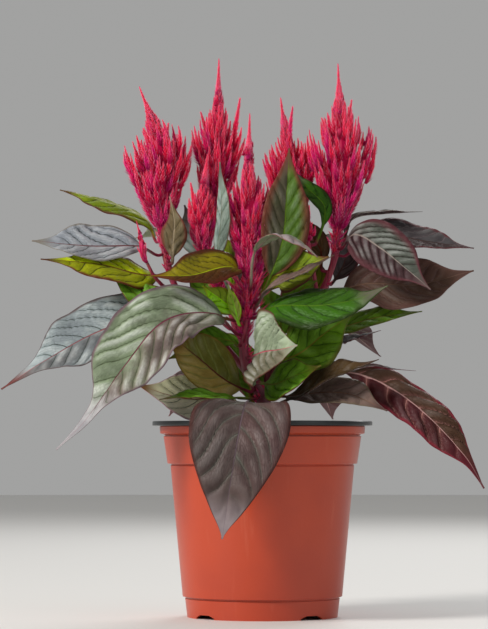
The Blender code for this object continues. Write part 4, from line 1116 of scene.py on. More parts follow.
PLAIN_HABIT = Habit()
HABITS = {
    "front_left_large": Habit(relief=1.25, drip=(0.58, 0.78, 0.68), pitch=15.0, rumple=3.2),
    "far_left_silver": Habit(relief=1.3, curl_above=12.0, drip=(0.60, 0.84, 0.60), rumple=1.8),
    "right_drooping": Habit(relief=1.6, curl_below=34.0, curl_above=8.0, pitch=15.0, width=0.78, wave=3.4,
                            rumple=1.6),
    "front_hanging": Habit(relief=0.75, drip=(0.85, 0.97, 0.15), pitch=19.0),
    "front_folded": Habit(relief=2.6, pitch=9.0),
    "left_bronze": Habit(relief=1.4, pitch=9.0),
    "low_left_pale": Habit(relief=1.2),
    "upper_left_green": Habit(curl_below=36.0, curl_above=10.0),
    "left_silver": Habit(relief=1.3),
    "left_lime": Habit(curl_above=18.0),
    "right_striped": Habit(relief=1.5, curl_below=14.0, pitch=8.0),
    "left_erect_silver": Habit(curl_above=45.0),
    "left_erect_brown": Habit(curl_above=40.0, drip=(0.30, 0.95, 0.75)),
    "centre_erect": Habit(drip=(0.60, 0.95, 0.35)),
    "centre_arched": Habit(curl_above=30.0),
}
print("leaves with habits of their own:", len(HABITS))

# %% [markdown]
# Laid flat, a celosia leaf is a lance: a thin petiole, a blade that is fullest below its middle, a long tip.
# One formula with a place for its fullest point gives all of them, so an outline is only two or three sizes.
# The petiole's route starts just off the stem's bark, on the side that its leaf grows to.

# %% A leaf's outline
PETIOLE_HALF_WIDTH = 1.0
PETIOLE_START = 4.0
PETIOLE_GAP = 0.45
TIP_HALF_WIDTH = 0.6
TIP_SHARPNESS = 1.15


def root_on_stem(leaf):
    """Two points: just off the stem's bark at the leaf's height, and a little farther out."""
    axis = stem_axis(leaf.stem)
    place = 0
    while place < len(axis) - 2 and axis[place + 1][0].z < leaf.root_height:
        place += 1
    (low, low_radius), (high, high_radius) = axis[place], axis[place + 1]
    share = (leaf.root_height - low.z) / (high.z - low.z)
    centre = low.lerp(high, share)
    tangent = (high - low).normalized()
    out = Vector(leaf.route[0]) - centre
    out = (out - out.project(tangent)).normalized()
    bark = low_radius + (high_radius - low_radius) * share + PETIOLE_GAP
    return [centre + out * bark, centre + out * (bark + PETIOLE_START)]


def blade_share(leaf, along):
    """0 where the petiole ends and 1 at the tip, for a share of the whole leaf's length."""
    return (along - leaf.petiole) / (1.0 - leaf.petiole)


def solid_half_width(leaf, along):
    """Half the solid's width there: slim petiole, full blade and drawn-out tip."""
    if along <= leaf.petiole:
        return PETIOLE_HALF_WIDTH
    blade = blade_share(leaf, along)
    rise = TIP_SHARPNESS * leaf.widest / (1.0 - leaf.widest)
    shape = (blade / leaf.widest) ** rise * ((1.0 - blade) / (1.0 - leaf.widest)) ** TIP_SHARPNESS
    return max(PETIOLE_HALF_WIDTH * (1.0 - blade) + TIP_HALF_WIDTH * blade, leaf.half_width * shape)


def half_width(leaf, habit, along):
    """Half the finer blade's width: the solid's, scaled by the habit, with a slimmer tip."""
    start, full, loss = habit.drip
    kept = 1.0 - loss * smoothstep(start, full, blade_share(leaf, along))
    return max(TIP_HALF_WIDTH, solid_half_width(leaf, along) * kept * habit.width)


print("the hanging leaf's half width:", round(half_width(LEAVES["front_hanging"], PLAIN_HABIT, 0.5), 1), "mm")

# %% [markdown]
# Between two side veins the blade swells, the rim ripples a little, and the midrib lies in a groove.
# Each of these is one term in the height of a point over the flat blade, so they can be tuned one by one.
# A slow noise breaks the rhythm up, because no two panels of a grown leaf are alike.

# %% A leaf's surface
VEIN_LEAN = 0.8
VEIN_CURVE = 1.1
HALF_SHIFT = 0.35
VEIN_WANDER = 0.45
QUILT = 0.14
QUILT_ROUNDNESS = 0.7
QUILT_LEVEL = 0.6
EDGE_WAVE = 0.05
EDGE_WAVES = 3
WAVE_SHIFT = 1.9
ROLL = 0.10
ROUGHEN = 1.6
RIB_GROOVE = 0.45
RIB_GROOVE_WIDTH = 1.1
WANDER_SCALES = (4.0, 1.2)
ROLL_SCALE = 0.055
DENT_SCALES = (0.07, 0.09)
# each is 0 at its first share and full at its second: of the width, of the length, and across a half
WIDE_ENOUGH = (0.15, 0.6)
PAST_THE_PETIOLE = (0.0, 0.12)
SHORT_OF_THE_TIP = (1.0, 0.86)
OFF_THE_RIB = (0.02, 0.3)
OFF_THE_RIM = (1.05, 0.75)


class Sheet(NamedTuple):
    """What all points of one blade share."""

    leaf: Leaf
    habit: Habit
    length: float
    pairs: int
    offset: Vector


def vein_count(sheet, along, across, width):
    """How many side veins lie below the point. It is whole on a vein, and veins slant and bend to the tip."""
    leaf = sheet.leaf
    from_rib = abs(across) * width
    reach = VEIN_LEAN * from_rib + VEIN_CURVE * from_rib * from_rib / leaf.half_width
    count = sheet.pairs * blade_share(leaf, along)
    count -= sheet.pairs * reach / (sheet.length * (1.0 - leaf.petiole))
    count += HALF_SHIFT if across > 0 else 0.0
    wander = sheet.offset + Vector((along * WANDER_SCALES[0], across * WANDER_SCALES[1], 0.0))
    return count + VEIN_WANDER * noise.noise(wander)


def fold_angle(sheet, across, width):
    """How far the half is folded up from the flat, less where the blade is narrow."""
    extra = sheet.habit.curl_above if across > 0 else sheet.habit.curl_below
    return math.radians(sheet.leaf.fold_degrees - extra) * min(1.0, 2.0 * width / sheet.leaf.half_width)


def lift_of(sheet, along, across, width, count):
    """How high the point lies over the flat blade: fold, rim, puckers, roll, dents and midrib groove."""
    leaf, habit, length, pairs, offset = sheet
    off = abs(across)
    blade = blade_share(leaf, along)
    room = smoothstep(*WIDE_ENOUGH, width / leaf.half_width)
    open_blade = smoothstep(*PAST_THE_PETIOLE, blade) * smoothstep(*SHORT_OF_THE_TIP, blade) * room
    swell = abs(math.sin(math.pi * count)) ** QUILT_ROUNDNESS - QUILT_LEVEL
    panel = smoothstep(*OFF_THE_RIB, off) * smoothstep(*OFF_THE_RIM, off) * open_blade
    quilt = QUILT * habit.relief * length / pairs * swell * panel
    shift = 0.0 if across > 0 else WAVE_SHIFT
    wave = EDGE_WAVE * habit.wave * width * math.sin(math.tau * EDGE_WAVES * along + shift)
    roll = noise.noise(offset + Vector((along * length * ROLL_SCALE, across, 3.0)))
    roll *= ROLL * habit.relief * width * off ** 2
    spot = Vector((along * length * DENT_SCALES[0], across * width * DENT_SCALES[1], 0.0))
    dents = ROUGHEN * habit.rumple * noise.noise(offset + spot)
    fold = off * width * math.sin(fold_angle(sheet, across, width))
    groove = RIB_GROOVE * math.exp(-((off * width / RIB_GROOVE_WIDTH) ** 2)) * open_blade
    return fold + off * off * wave + quilt + (roll + dents * off) * open_blade - groove


print("side veins on the hanging leaf stand about", HABITS["front_hanging"].pitch, "mm apart")

# %% [markdown]
# A leaf starts as a flat grid with X along the midrib and Y across. Each point is then moved to its place.
# It follows the midrib's route, and takes its distance from it out of the blade's width there.
# The first ring goes a little way back into the stem, so that no gap shows at the bark.
# Solidify gives the sheet its thickness afterwards, from a vertex group: thick petiole and rib, thin blade.

# %% A leaf's sheet
PETIOLE_THICKNESS = 1.9
BLADE_THICKNESS = 0.45
RIB_THICKNESS = 1.3
THINNING_START = 0.8
THINNING_LENGTH = 0.12
STATION_STEP = 1.25
COLUMN_STEP = 1.7
COLUMN_BIAS = 1.25
FEWEST_COLUMNS = 8
FEWEST_PAIRS = 4
MEASURING_STEPS = 40
SEED_STEPS = (37.1, 11.3)
INTO_THE_STEM = 1.3
THINNER_RIM = 0.4
THINNER_TIP = 0.4
FLATTEST_STALK = 0.04


def thickness_at(leaf, along, off, width):
    """How thick the leaf is there: a round petiole that goes over into a thin blade with a thick midrib."""
    thinning = THINNING_START * leaf.petiole
    thin = smoothstep(thinning, thinning + THINNING_LENGTH, along)
    stalk = PETIOLE_THICKNESS * math.sqrt(max(FLATTEST_STALK, 1.0 - off * off))
    rib = RIB_THICKNESS * (1.0 - along) * math.exp(-((off * width) ** 2))
    blade = min(BLADE_THICKNESS * (1.0 - THINNER_RIM * off) + rib, THINNER_TIP * width)
    return stalk + (blade - stalk) * thin


def leaf_mesh(name, leaf, seed, habit=PLAIN_HABIT):
    """The blade as an open sheet with its two maps, and how thick it is at each point."""
    points = [*root_on_stem(leaf), *leaf.route]
    length = length_of(smooth_route(points, MEASURING_STEPS))
    stations = round(length / STATION_STEP)
    columns = max(FEWEST_COLUMNS, 2 * round(leaf.half_width / COLUMN_STEP))
    route = smooth_route(points, stations)
    frames = frames_along(route, leaf.facing)
    pairs = max(FEWEST_PAIRS, round(length * (1.0 - leaf.petiole) / habit.pitch))
    sheet = Sheet(leaf, habit, length, pairs, Vector((seed * SEED_STEPS[0], seed * SEED_STEPS[1], 0.0)))
    bm = bmesh.new()
    bmesh.ops.create_grid(bm, x_segments=stations, y_segments=columns, size=1.0)
    blade_map = bm.loops.layers.uv.new("blade")
    vein_map = bm.loops.layers.uv.new("veins")
    shares = {}
    for vert in bm.verts:
        along = (vert.co.x + 1.0) / 2
        across = math.copysign(abs(vert.co.y) ** COLUMN_BIAS, vert.co.y)
        width = half_width(leaf, habit, along)
        count = vein_count(sheet, along, across, width)
        lift = lift_of(sheet, along, across, width, count)
        place = round(along * stations)
        tangent, side, normal = frames[place]
        aside = across * width * math.cos(fold_angle(sheet, across, width))
        vert.co = route[place] + side * aside + normal * lift
        if place == 0:
            vert.co -= tangent * INTO_THE_STEM
        shares[vert.index] = thickness_at(leaf, along, abs(across), width) / PETIOLE_THICKNESS
        for loop in vert.link_loops:
            loop[blade_map].uv = (along, (across + 1.0) / 2)
            loop[vein_map].uv = (count, across * width)
    return mesh_from(bm, name), shares


mesh, _ = leaf_mesh("trial", LEAVES["front_hanging"], 1)
print("the hanging leaf's sheet:", len(mesh.polygons), "faces")
bpy.data.meshes.remove(mesh)

# %% [markdown]
# A few young leaves fill the shade between the stems, as they do on a bushy plant.
# The solids leave them out, because they are small and half hidden, so they have their routes here.

# %% Young leaves
YOUNG_LEAVES = {
    "centre": Leaf("rear_right", 172, [(12, 10, 186), (6, 6, 200), (2, 4, 212)],
                   10, (0, -1, 0.1), 8, 0.2, 0.45, "deep_green"),
    "crown": Leaf("rear_left", 140, [(-8, 6, 146), (-14, 8, 155), (-19, 8, 163)],
                  7, (0, -1, 0.2), 8, 0.2, 0.45, "green"),
    "right_inner": Leaf("right", 194, [(34, 22, 208), (32, 25, 220), (28, 26, 234)],
                        10, (0, -1, 0), 8, 0.2, 0.45, "olive"),
    "right_low": Leaf("rear_right", 188, [(20, 16, 202), (27, 10, 210), (35, 6, 214)],
                      9, (0, -0.9, 0.4), 8, 0.2, 0.45, "green"),
    "right_stem": Leaf("right", 214, [(52, 24, 224), (56, 28, 236), (58, 30, 246)],
                       9, (0, -1, 0), 8, 0.2, 0.45, "dark"),
    "right_upper": Leaf("right", 220, [(38, 22, 234), (31, 24, 246), (25, 24, 258)],
                        8, (0, -1, 0), 8, 0.2, 0.45, "umber"),
    "left_low": Leaf("left", 166, [(-32, 6, 169), (-46, 8, 169), (-60, 8, 164)],
                     9, (0, -0.9, 0.4), 8, 0.2, 0.45, "deep_green"),
    "middle_low": Leaf("rear_left", 132, [(-6, 10, 144), (-9, 14, 160), (-12, 16, 180)],
                       11, (0.2, -1, 0.1), 8, 0.15, 0.45, "green"),
    "middle_right": Leaf("rear_right", 150, [(12, 18, 160), (20, 22, 172), (28, 24, 186)],
                         12, (0, -1, 0.1), 8, 0.15, 0.45, "deep_green"),
    "middle_high": Leaf("rear_left", 190, [(-12, 14, 204), (-8, 16, 218), (-2, 17, 232)],
                        10, (0, -1, 0.1), 8, 0.15, 0.45, "green"),
    "left_inner": Leaf("left", 190, [(-30, 14, 200), (-38, 18, 214), (-42, 20, 230)],
                       10, (0, -1, 0.1), 8, 0.15, 0.45, "deep_green"),
}
print("young leaves:", len(YOUNG_LEAVES))

# %% [markdown]
# All the leaves, old and young, are made by the same function. They differ in their routes, habits and looks.
# Solidify's material offset paints the side that faces away from the leaf's normal as the underside.

# %% Grow the leaves
def grow_leaf(name, leaf, seed):
    """The finished blade, with its thickness and both materials."""
    mesh, shares = leaf_mesh(name, leaf, seed, HABITS.get(name, PLAIN_HABIT))
    made = linked(name, mesh)
    group = made.vertex_groups.new(name="thickness")
    for index, share in shares.items():
        group.add([index], min(1.0, share), "REPLACE")
    shell = made.modifiers.new("Thickness", "SOLIDIFY")
    shell.thickness = PETIOLE_THICKNESS * MM
    shell.offset = 0.0
    shell.vertex_group = group.name
    shell.material_offset = 1
    mesh.materials.append(upper_looks[leaf.look])
    mesh.materials.append(under_looks["dusky" if leaf.look in DUSKY else "pale"])
    mesh.shade_smooth()
    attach(made, "root")
    return made


for seed, (name, leaf) in enumerate(LEAVES.items()):
    made = grow_leaf(name, leaf, seed)
    made.name = "blade_" + name
    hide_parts("leaf_" + name)
for seed, (name, leaf) in enumerate(YOUNG_LEAVES.items()):
    made = grow_leaf("young_" + name, leaf, seed + len(LEAVES))
print("leaves grown:", len(LEAVES) + len(YOUNG_LEAVES))

# %% [markdown]
# A plume is hundreds of florets. They sit on slim side spikes, which stand up round the plume's axis.
# One side spike is a thin bowed core with small pointed tepals up it, each turned by the golden angle.
# A tepal is a three-sided cone, because there are many thousands, and only their lie and number are seen.
# A map named floret says how far up the spike a tepal sits, and how far up the tepal a point is.

# %% One side spike
GOLDEN_ANGLE = math.radians(137.508)
TEPAL_LENGTH = 4.6
TEPAL_RADIUS = 0.52
TEPAL_LEAN_LOW = 27.0
TEPAL_LEAN_HIGH = 11.0
SPIKE_CORE = 1.0
CORE_LENGTH = 0.94
CORE_NARROWING = 0.85
NARROWING_CURVE = 1.5
TEPAL_SIZES = (0.8, 1.2)
SMALLER_TEPALS = 0.5
TEPAL_LEAN_SCATTER = 6.0
TEPAL_TURN_SCATTER = 0.3
BOW = 0.07


def set_floret_map(mesh, along=None):
    """Writes the floret map: a tepal's place and each point's height in it, or for a core just the height."""
    heights = [vert.co.z for vert in mesh.vertices]
    low, high = min(heights), max(heights)
    layer = mesh.uv_layers.new(name="floret")
    for loop in mesh.loops:
        rise = (heights[loop.vertex_index] - low) / (high - low)
        layer.data[loop.index].uv = (rise, 0.0) if along is None else (along, rise)


def spike_core(name, length, core_radius):
    """The thin axis of a spike, which narrows upwards."""
    bm = bmesh.new()
    bmesh.ops.create_cone(bm, cap_ends=True, segments=5, radius1=1.0, radius2=1.0, depth=1.0)
    uprights = [edge for edge in bm.edges if abs(edge.verts[0].co.z - edge.verts[1].co.z) > 0.5]
    bmesh.ops.subdivide_edges(bm, edges=uprights, cuts=5, use_grid_fill=True)
    for vert in bm.verts:
        share = vert.co.z + 0.5
        radius = core_radius * (1.0 - CORE_NARROWING * share ** NARROWING_CURVE)
        vert.co = Vector((vert.co.x * radius, vert.co.y * radius, share * length * CORE_LENGTH))
    core = pass_on(bm, name)
    set_floret_map(core)
    return core


def tepal_mesh(name, length, share, size, lean, turn, core_radius):
    """One tepal that stands on the core at a share of the spike's length, leaning out by some degrees."""
    tepal = bmesh.new()
    bmesh.ops.create_cone(tepal, cap_ends=True, segments=3, radius1=TEPAL_RADIUS * size, radius2=0.0,
                          depth=TEPAL_LENGTH * size)
    bmesh.ops.translate(tepal, vec=(0.0, 0.0, TEPAL_LENGTH * size / 2), verts=tepal.verts)
    root = Vector((core_radius * 0.6 * (1.0 - 0.9 * share), 0.0, share * (length - TEPAL_LENGTH * size)))
    leant = Matrix.Rotation(math.radians(lean), 4, "Y")
    turned = Matrix.Rotation(turn, 4, "Z")
    bmesh.ops.transform(tepal, matrix=turned @ Matrix.Translation(root) @ leant, verts=tepal.verts)
    mesh = pass_on(tepal, name)
    set_floret_map(mesh, share)
    return mesh


def side_spike(name, length, tepals, seed, core_radius=SPIKE_CORE, bow=BOW):
    """A spike along +Z from the origin, bowed towards +X, clothed in tepals that lean out and up."""
    draw = random.Random(seed)
    bm = bmesh.new()
    add_mesh(bm, spike_core(name, length, core_radius))
    for i in range(tepals):
        share = (i + 0.5) / tepals
        size = (1.0 - SMALLER_TEPALS * share ** NARROWING_CURVE) * draw.uniform(*TEPAL_SIZES)
        lean = TEPAL_LEAN_LOW + (TEPAL_LEAN_HIGH - TEPAL_LEAN_LOW) * share
        lean += draw.uniform(-TEPAL_LEAN_SCATTER, TEPAL_LEAN_SCATTER)
        turn = i * GOLDEN_ANGLE + draw.uniform(-TEPAL_TURN_SCATTER, TEPAL_TURN_SCATTER)
        add_mesh(bm, tepal_mesh(name, length, share, size, lean, turn, core_radius))
    for vert in bm.verts:
        share = min(1.0, max(0.0, vert.co.z / length))
        vert.co.x += bow * length * math.sin(math.pi * share)
    return pass_on(bm, name)


SPIKE_LENGTH = 18.0
LONG_SPIKE_LENGTH = 54.0
TUFT_SPIKE_LENGTH = 12.0
spikes = [side_spike("side spike", SPIKE_LENGTH, 48, seed) for seed in range(5)]
long_spike = side_spike("long spike", LONG_SPIKE_LENGTH, 230, 11, core_radius=1.7, bow=0.0)
tuft_spikes = []
for seed in range(20, 24):
    tuft_spikes.append(side_spike("tuft spike", TUFT_SPIKE_LENGTH, 20, seed, core_radius=0.6))
print("faces of a side spike:", len(spikes[0].polygons), "and of a long one:", len(long_spike.polygons))

# %% [markdown]
# Celosia red isn't one red: magenta at the plume's foot, crimson in its body and coral at every spike's tip.
# Each tepal is darker red at its foot and pale pink towards its point, which gives the fine pale strokes:
# partly the tepals' own colours, partly painted shade between the tepals and a painted highlight on their
# points.
# Low on each spike, near the plume's axis, the red is darkened again as painted shade.
# The tepals shine a little, because they are dry and papery. A touch of sheen stands for that.
# A map named plume tells the material how high in the plume a spike sits, and gives each its own tone.

# %% The plume's colours
crimson, tree, shader = new_look("crimson plume", roughness=0.5, specular_ior_level=0.15,
                                 sheen_weight=0.04, sheen_roughness=0.35)
floret = map_values(tree, "floret")
in_plume = map_values(tree, "plume")
body = blend(tree, ramp(tree, in_plume["X"], 0.02, 0.5), linear("D0148C"), linear("FF0C48"))
body = blend(tree, ramp(tree, in_plume["Y"], 0.55, 1.0, 0.0, 0.65), body, linear("D820A0"))
# A low tone darkens a spike's red: at random on the outer spikes, and as painted shade on the inner spikes
# and the core.
body = blend(tree, ramp(tree, in_plume["Y"], 0.30, 0.0, 0.0, 0.6), body, linear("B80E38"))
tipped = blend(tree, ramp(tree, floret["X"], 0.5, 1.0, 0.0, 0.8), body, linear("FF4C6C"))
paleness = ramp(tree, in_plume["Y"], 0.0, 0.8, 1.0, 0.55)
# The tepals' pale points: partly their own paler colour, partly a painted highlight.
points_and_highlight = maths(tree, "MULTIPLY", ramp(tree, floret["Y"], 0.5, 0.8), paleness)
pale = blend(tree, points_and_highlight, tipped, linear("FF9EC4"))
# Painted shade: darker at each tepal's foot, between the tepals, and low on each spike, near the plume's
# axis.
painted_shade = blend(tree, ramp(tree, floret["Y"], 0.45, 0.0, 0.0, 0.6), pale, linear("A8063A"))
painted_shade = blend(tree, ramp(tree, floret["X"], 0.4, 0.0, 0.0, 0.6), painted_shade, linear("7A0840"))
tree.links.new(painted_shade, shader.inputs["Base Color"])
bump(tree, shader, speckle(tree, object_place(tree), 1800.0, 2.0), 0.0001)
print("crimson plume nodes:", len(tree.nodes))

# %% [markdown]
# A plume's outline is a flame: a slim foot, a swelling body, and shoulders that fall steeply to the long top.
# A quarter of a sine wave swells the foot, and a bell curve drops the shoulders. They meet at the widest.

# %% A plume's outline
PLUME_FOOT = 0.22
FULL_FEET = {"centre": 0.55, "inner": 0.5}
FOOT_CURVE = 1.6
SHOULDER_DROP = 13.0
PLUME_SPIKE = 0.2
PLUME_FRAMES = 96
PLUME_SEAT = 0.4


def plume_radius(plume, along, foot=PLUME_FOOT):
    """The plume's outline: a slim foot, a swelling body, and a sudden fall to a long spike."""
    if along < plume.widest:
        swell = math.sin(math.pi / 2 * along / plume.widest) ** FOOT_CURVE
        return plume.half_width * (foot + (1.0 - foot) * swell)
    fall = (along - plume.widest) / (1.0 - plume.widest)
    shoulder = math.exp(-SHOULDER_DROP * fall * fall)
    return plume.half_width * (PLUME_SPIKE * (1.0 - fall) + (1.0 - PLUME_SPIKE) * shoulder)


def plume_axis(plume):
    """The axis from the stem's end, leaving it in the stem's own direction."""
    axis = stem_axis(plume.stem)
    end = axis[-1][0]
    upward = (end - axis[-2][0]).normalized()
    foot = [end + upward * PLUME_SEAT, end + upward * (PLUME_SEAT + PETIOLE_START)]
    return smooth_route([*foot, *plume.route], PLUME_FRAMES)


print("the left plume's axis:", round(length_of(plume_axis(PLUMES["left"]))), "mm long")

# %% [markdown]
# A spike's copy is stretched from its root to its tip and turned so that its bow faces outwards.
# Grown spikes bow the same way, and that gives the flame shape. The plume's top follows the axis instead.

# %% Set a spike
TOP_TONE = (0.9, 0.4)


def add_spike(bm, template, template_length, root, tip, out, height, tone, thickness):
    """A copy of the template from root to tip, bowed outwards, with its place in the plume on a map."""
    copy = template.copy()
    upward = (tip - root).normalized()
    outward = (out - out.project(upward)).normalized()
    turn = Matrix((outward, upward.cross(outward), upward)).transposed().to_4x4()
    stretch = (tip - root).length / template_length
    copy.transform(Matrix.Translation(root) @ turn @ Matrix.Diagonal((thickness, thickness, stretch, 1.0)))
    layer = copy.uv_layers.new(name="plume")
    layer.data.foreach_set("uv", [height, tone] * len(copy.loops))
    add_mesh(bm, copy)


def add_terminal_spike(bm, route, frames, start, thickness):
    """The plume's own top: a long spike laid along the axis, so that it curves as the axis does."""
    copy = long_spike.copy()
    last = len(route) - 1
    for vert in copy.vertices:
        place = start + (last - start) * min(1.0, max(0.0, vert.co.z / LONG_SPIKE_LENGTH))
        station = min(int(place), last - 1)
        _, side, normal = frames[station]
        centre = route[station].lerp(route[station + 1], place - station)
        vert.co = centre + (side * vert.co.x + normal * vert.co.y) * thickness
    layer = copy.uv_layers.new(name="plume")
    layer.data.foreach_set("uv", [*TOP_TONE] * len(copy.loops))
    add_mesh(bm, copy)


print("a side spike's length before it is stretched:", SPIKE_LENGTH, "mm")

# %% [markdown]
# Side spikes are set round the axis by the golden angle, from the foot up, with their tips near the outline.
# Every fourth one sits deeper, so that the plume has a dark inside and isn't a hollow shell. Its low tone
# also paints it darker red, as painted shade.
# A plain core fills the body, where nobody sees it, and a few long spikes stand out where the plant has them.

# %% Grow the plumes
CORE_SHARE = 0.62
CORE_FULL_BELOW = 0.30
CORE_GONE_ABOVE = 0.78
CORE_SIDES = 10
CORE_THREAD = 1.1
# The core's low tone paints it darker red, as painted shade.
CORE_TONE = (0.2, 0.0)
CORE_FRAME_STEP = 3
SLIM_PLUME = 9.0
SPIKES_PER_SOLID_ONE = 5.0
FULLER_TOP = 0.8
LOWEST_TIP = 0.13
HIGHEST_TIP = 0.90
LEAN_FOOT = 32.0
LEAN_TOP = 9.0
LEAN_SCATTER = 5.0
TURN_SCATTER = 0.25
SPIKE_LENGTHS = (0.7, 1.15)
SHORTER_TOP = 0.3
SPIKE_THICKNESSES = (0.85, 1.1)
INNER_EVERY = 4
INNER_LAYER = (0.45, 0.75)
OUTER_LAYER = (0.82, 1.10)
# The inner spikes' low tone paints them darker red, as painted shade inside the plume.
INNER_TONE = 0.1
TERMINAL_FROM = 0.64
LONG_SPIKE_HEIGHT = 0.85
LONG_SPIKE_THICKNESS = 1.15
# from, to
LONG_SPIKES = {
    "rear_left": [((-20, 28, 299), (-14, 27, 335)), ((-33, 24, 302), (-40, 22, 325))],
    "rear_right": [((16, 24, 296), (20, 24, 329)), ((20, 26, 278), (31, 26, 300))],
    "inner": [((-41, 0, 250), (-46, -1, 277))],
    "right": [((52, 14, 300), (58, 14, 332)), ((47, 13, 296), (38, 12, 320))],
    "left": [((-64, 7, 292), (-60, 6, 316))],
}


def plume_core(name, plume, route, frames):
    """What fills the plume's body, and a thread from there to its top."""
    radii = []
    for i in range(PLUME_FRAMES + 1):
        along = i / PLUME_FRAMES
        filled = CORE_SHARE * plume_radius(plume, along) * smoothstep(CORE_GONE_ABOVE, CORE_FULL_BELOW, along)
        radii.append(max(CORE_THREAD * (1.0 - 0.8 * along), filled))
    kept = slice(None, None, CORE_FRAME_STEP)
    core = pass_on(sleeve(route[kept], frames[kept], radii[kept], CORE_SIDES), name)
    set_floret_map(core)
    core.uv_layers.new(name="plume").data.foreach_set("uv", [*CORE_TONE] * len(core.loops))
    return core


def plume_mesh(name, plume):
    """The whole plume: its core, its side spikes, its top and its long spikes."""
    draw = random.Random(plume.seed + 40)
    route = plume_axis(plume)
    frames = frames_along(route, (0.0, -1.0, 0.0))
    length = length_of(route)
    size = min(1.0, plume.half_width / SLIM_PLUME)
    foot = FULL_FEET.get(name, PLUME_FOOT)
    bm = bmesh.new()
    add_mesh(bm, plume_core(name, plume, route, frames))
    count = round(plume.spikes * SPIKES_PER_SOLID_ONE)
    for i in range(count):
        share = ((i + 0.5) / count) ** FULLER_TOP
        tip_share = LOWEST_TIP + (HIGHEST_TIP - LOWEST_TIP) * share
        spike = min(plume.spike_length, tip_share * length) * draw.uniform(*SPIKE_LENGTHS)
        spike *= 1.0 - SHORTER_TOP * share
        place = round(tip_share * PLUME_FRAMES)
        tangent, side, normal = frames[place]
        turn = i * GOLDEN_ANGLE + draw.uniform(-TURN_SCATTER, TURN_SCATTER)
        out = side * math.cos(turn) + normal * math.sin(turn)
        outer = i % INNER_EVERY != 0
        layer = draw.uniform(*(OUTER_LAYER if outer else INNER_LAYER))
        lean = LEAN_TOP + (LEAN_FOOT - LEAN_TOP) * (1.0 - tip_share) * layer
        lean = math.radians(lean + draw.uniform(-LEAN_SCATTER, LEAN_SCATTER))
        tip = route[place] + out * (layer * plume_radius(plume, tip_share, foot))
        root = tip - (tangent * math.cos(lean) + out * math.sin(lean)) * spike
        tone = draw.random() if outer else INNER_TONE
        add_spike(bm, spikes[i % len(spikes)], SPIKE_LENGTH, root, tip, out, tip_share, tone,
                  size * draw.uniform(*SPIKE_THICKNESSES))
    add_terminal_spike(bm, route, frames, round(TERMINAL_FROM * PLUME_FRAMES), size)
    for root, tip in LONG_SPIKES.get(name, ()):
        out = Vector(tip) - route[PLUME_FRAMES // 2]
        add_spike(bm, long_spike, LONG_SPIKE_LENGTH, Vector(root), Vector(tip), out, LONG_SPIKE_HEIGHT,
                  draw.random(), LONG_SPIKE_THICKNESS)
    return mesh_from(bm, name)


plume_faces = 0
for name, plume in PLUMES.items():
    made = linked("florets_" + name, plume_mesh(name, plume))
    made.data.materials.append(crimson)
    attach(made, "root")
    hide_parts("plume_" + name)
    plume_faces += len(made.data.polygons)
print("plumes:", len(PLUMES), "faces:", plume_faces)

# %% [markdown]
# Small tufts of florets sit where leaves join the stems, and round the stems below the plumes.
# They are side spikes at a small size, modelled with fewer tepals, because nobody could count them.

# %% Tufts on the stem
class Tuft(NamedTuple):
    """Florets on a stretch of stem: where, how many and how long, and which way they point in degrees."""

    stem: str
    low: float
    high: float
    count: int
    reach: float
    middle: float
    spread: float
    least_rise: float


TUFTS = [
    Tuft("main", 188, 213, 190, 17.0, -100.0, 150.0, 35.0),
    Tuft("main", 174, 190, 50, 11.0, -110.0, 130.0, 40.0),
    Tuft("inner", 204, 231, 90, 12.0, -100.0, 150.0, 40.0),
    Tuft("left", 230, 243, 30, 9.0, -90.0, 170.0, 45.0),
    Tuft("right", 230, 244, 30, 9.0, -90.0, 170.0, 45.0),
]
MOST_RISE = 80.0
TUFT_REACHES = (0.6, 1.1)
AXILS_BELOW = 190
AXIL_LEAVES = [leaf for leaf in LEAVES.values()
               if leaf.root_height < AXILS_BELOW or leaf.stem in ("left", "right")]
AXIL_FLORETS = 7
AXIL_LENGTH = 6.5
AXIL_LEAST_RISE = 30.0


def point_on(stem, height):
    """The stem's centre at a height, and its radius there."""
    axis = stem_axis(stem)
    place = 0
    while place < len(axis) - 2 and axis[place + 1][0].z < height:
        place += 1
    (low, radius), (high, _) = axis[place], axis[place + 1]
    return low.lerp(high, min(1.0, max(0.0, (height - low.z) / (high.z - low.z)))), radius


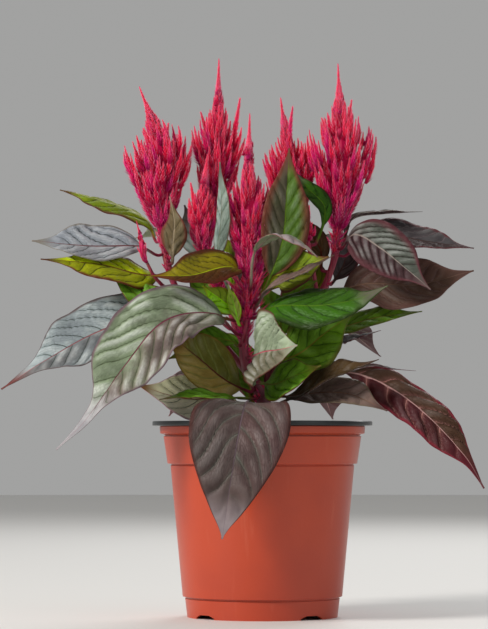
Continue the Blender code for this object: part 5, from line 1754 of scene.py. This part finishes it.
def add_floret(bm, draw, stem, height, turn, rise, reach, thickness):
    """A small spike from inside the stem, pointing to a compass turn and rising by an angle."""
    centre, radius = point_on(stem, height)
    out = Vector((math.cos(turn), math.sin(turn), 0.0))
    upward = Vector((0.0, 0.0, math.sin(rise)))
    tip = centre + out * radius * 0.6 + (out * math.cos(rise) + upward) * reach
    template = tuft_spikes[draw.randrange(len(tuft_spikes))]
    add_spike(bm, template, TUFT_SPIKE_LENGTH, centre, tip, out, draw.uniform(0.05, 0.5), draw.random(),
              thickness)


bm = bmesh.new()
draw = random.Random(23)
for tuft in TUFTS:
    for _ in range(tuft.count):
        turn = math.radians(tuft.middle + draw.uniform(-tuft.spread, tuft.spread))
        rise = math.radians(draw.uniform(tuft.least_rise, MOST_RISE))
        height = draw.uniform(tuft.low, tuft.high)
        add_floret(bm, draw, tuft.stem, height, turn, rise, tuft.reach * draw.uniform(*TUFT_REACHES), 0.8)
for leaf in AXIL_LEAVES:
    toward = Vector(leaf.route[0]) - point_on(leaf.stem, leaf.root_height)[0]
    middle = math.atan2(toward.y, toward.x)
    for _ in range(AXIL_FLORETS):
        turn = middle + draw.uniform(-0.9, 0.9)
        rise = math.radians(draw.uniform(AXIL_LEAST_RISE, MOST_RISE))
        height = leaf.root_height + draw.uniform(1.0, 5.0)
        add_floret(bm, draw, leaf.stem, height, turn, rise, AXIL_LENGTH * draw.uniform(*TUFT_REACHES), 0.6)
tufts = linked("stem_florets", mesh_from(bm, "stem florets"))
tufts.data.materials.append(crimson)
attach(tufts, "root")
print("tuft faces:", len(tufts.data.polygons))

# %% [markdown]
# Last, the triangles of every finished piece are counted, and the largest pieces and the total are printed.

# %% Finish
triangles = {}
bpy.context.view_layer.update()
graph = bpy.context.evaluated_depsgraph_get()
for obj in bpy.context.scene.objects:
    if obj.type == "MESH" and not obj.name.startswith("floor") and obj.name not in frame["nodes"]:
        mesh = obj.evaluated_get(graph).to_mesh()
        triangles[obj.name] = sum(len(face.vertices) - 2 for face in mesh.polygons)
        obj.evaluated_get(graph).to_mesh_clear()
print("largest pieces:", sorted(triangles.items(), key=lambda pair: -pair[1])[:6])
print("triangles in all:", sum(triangles.values()))
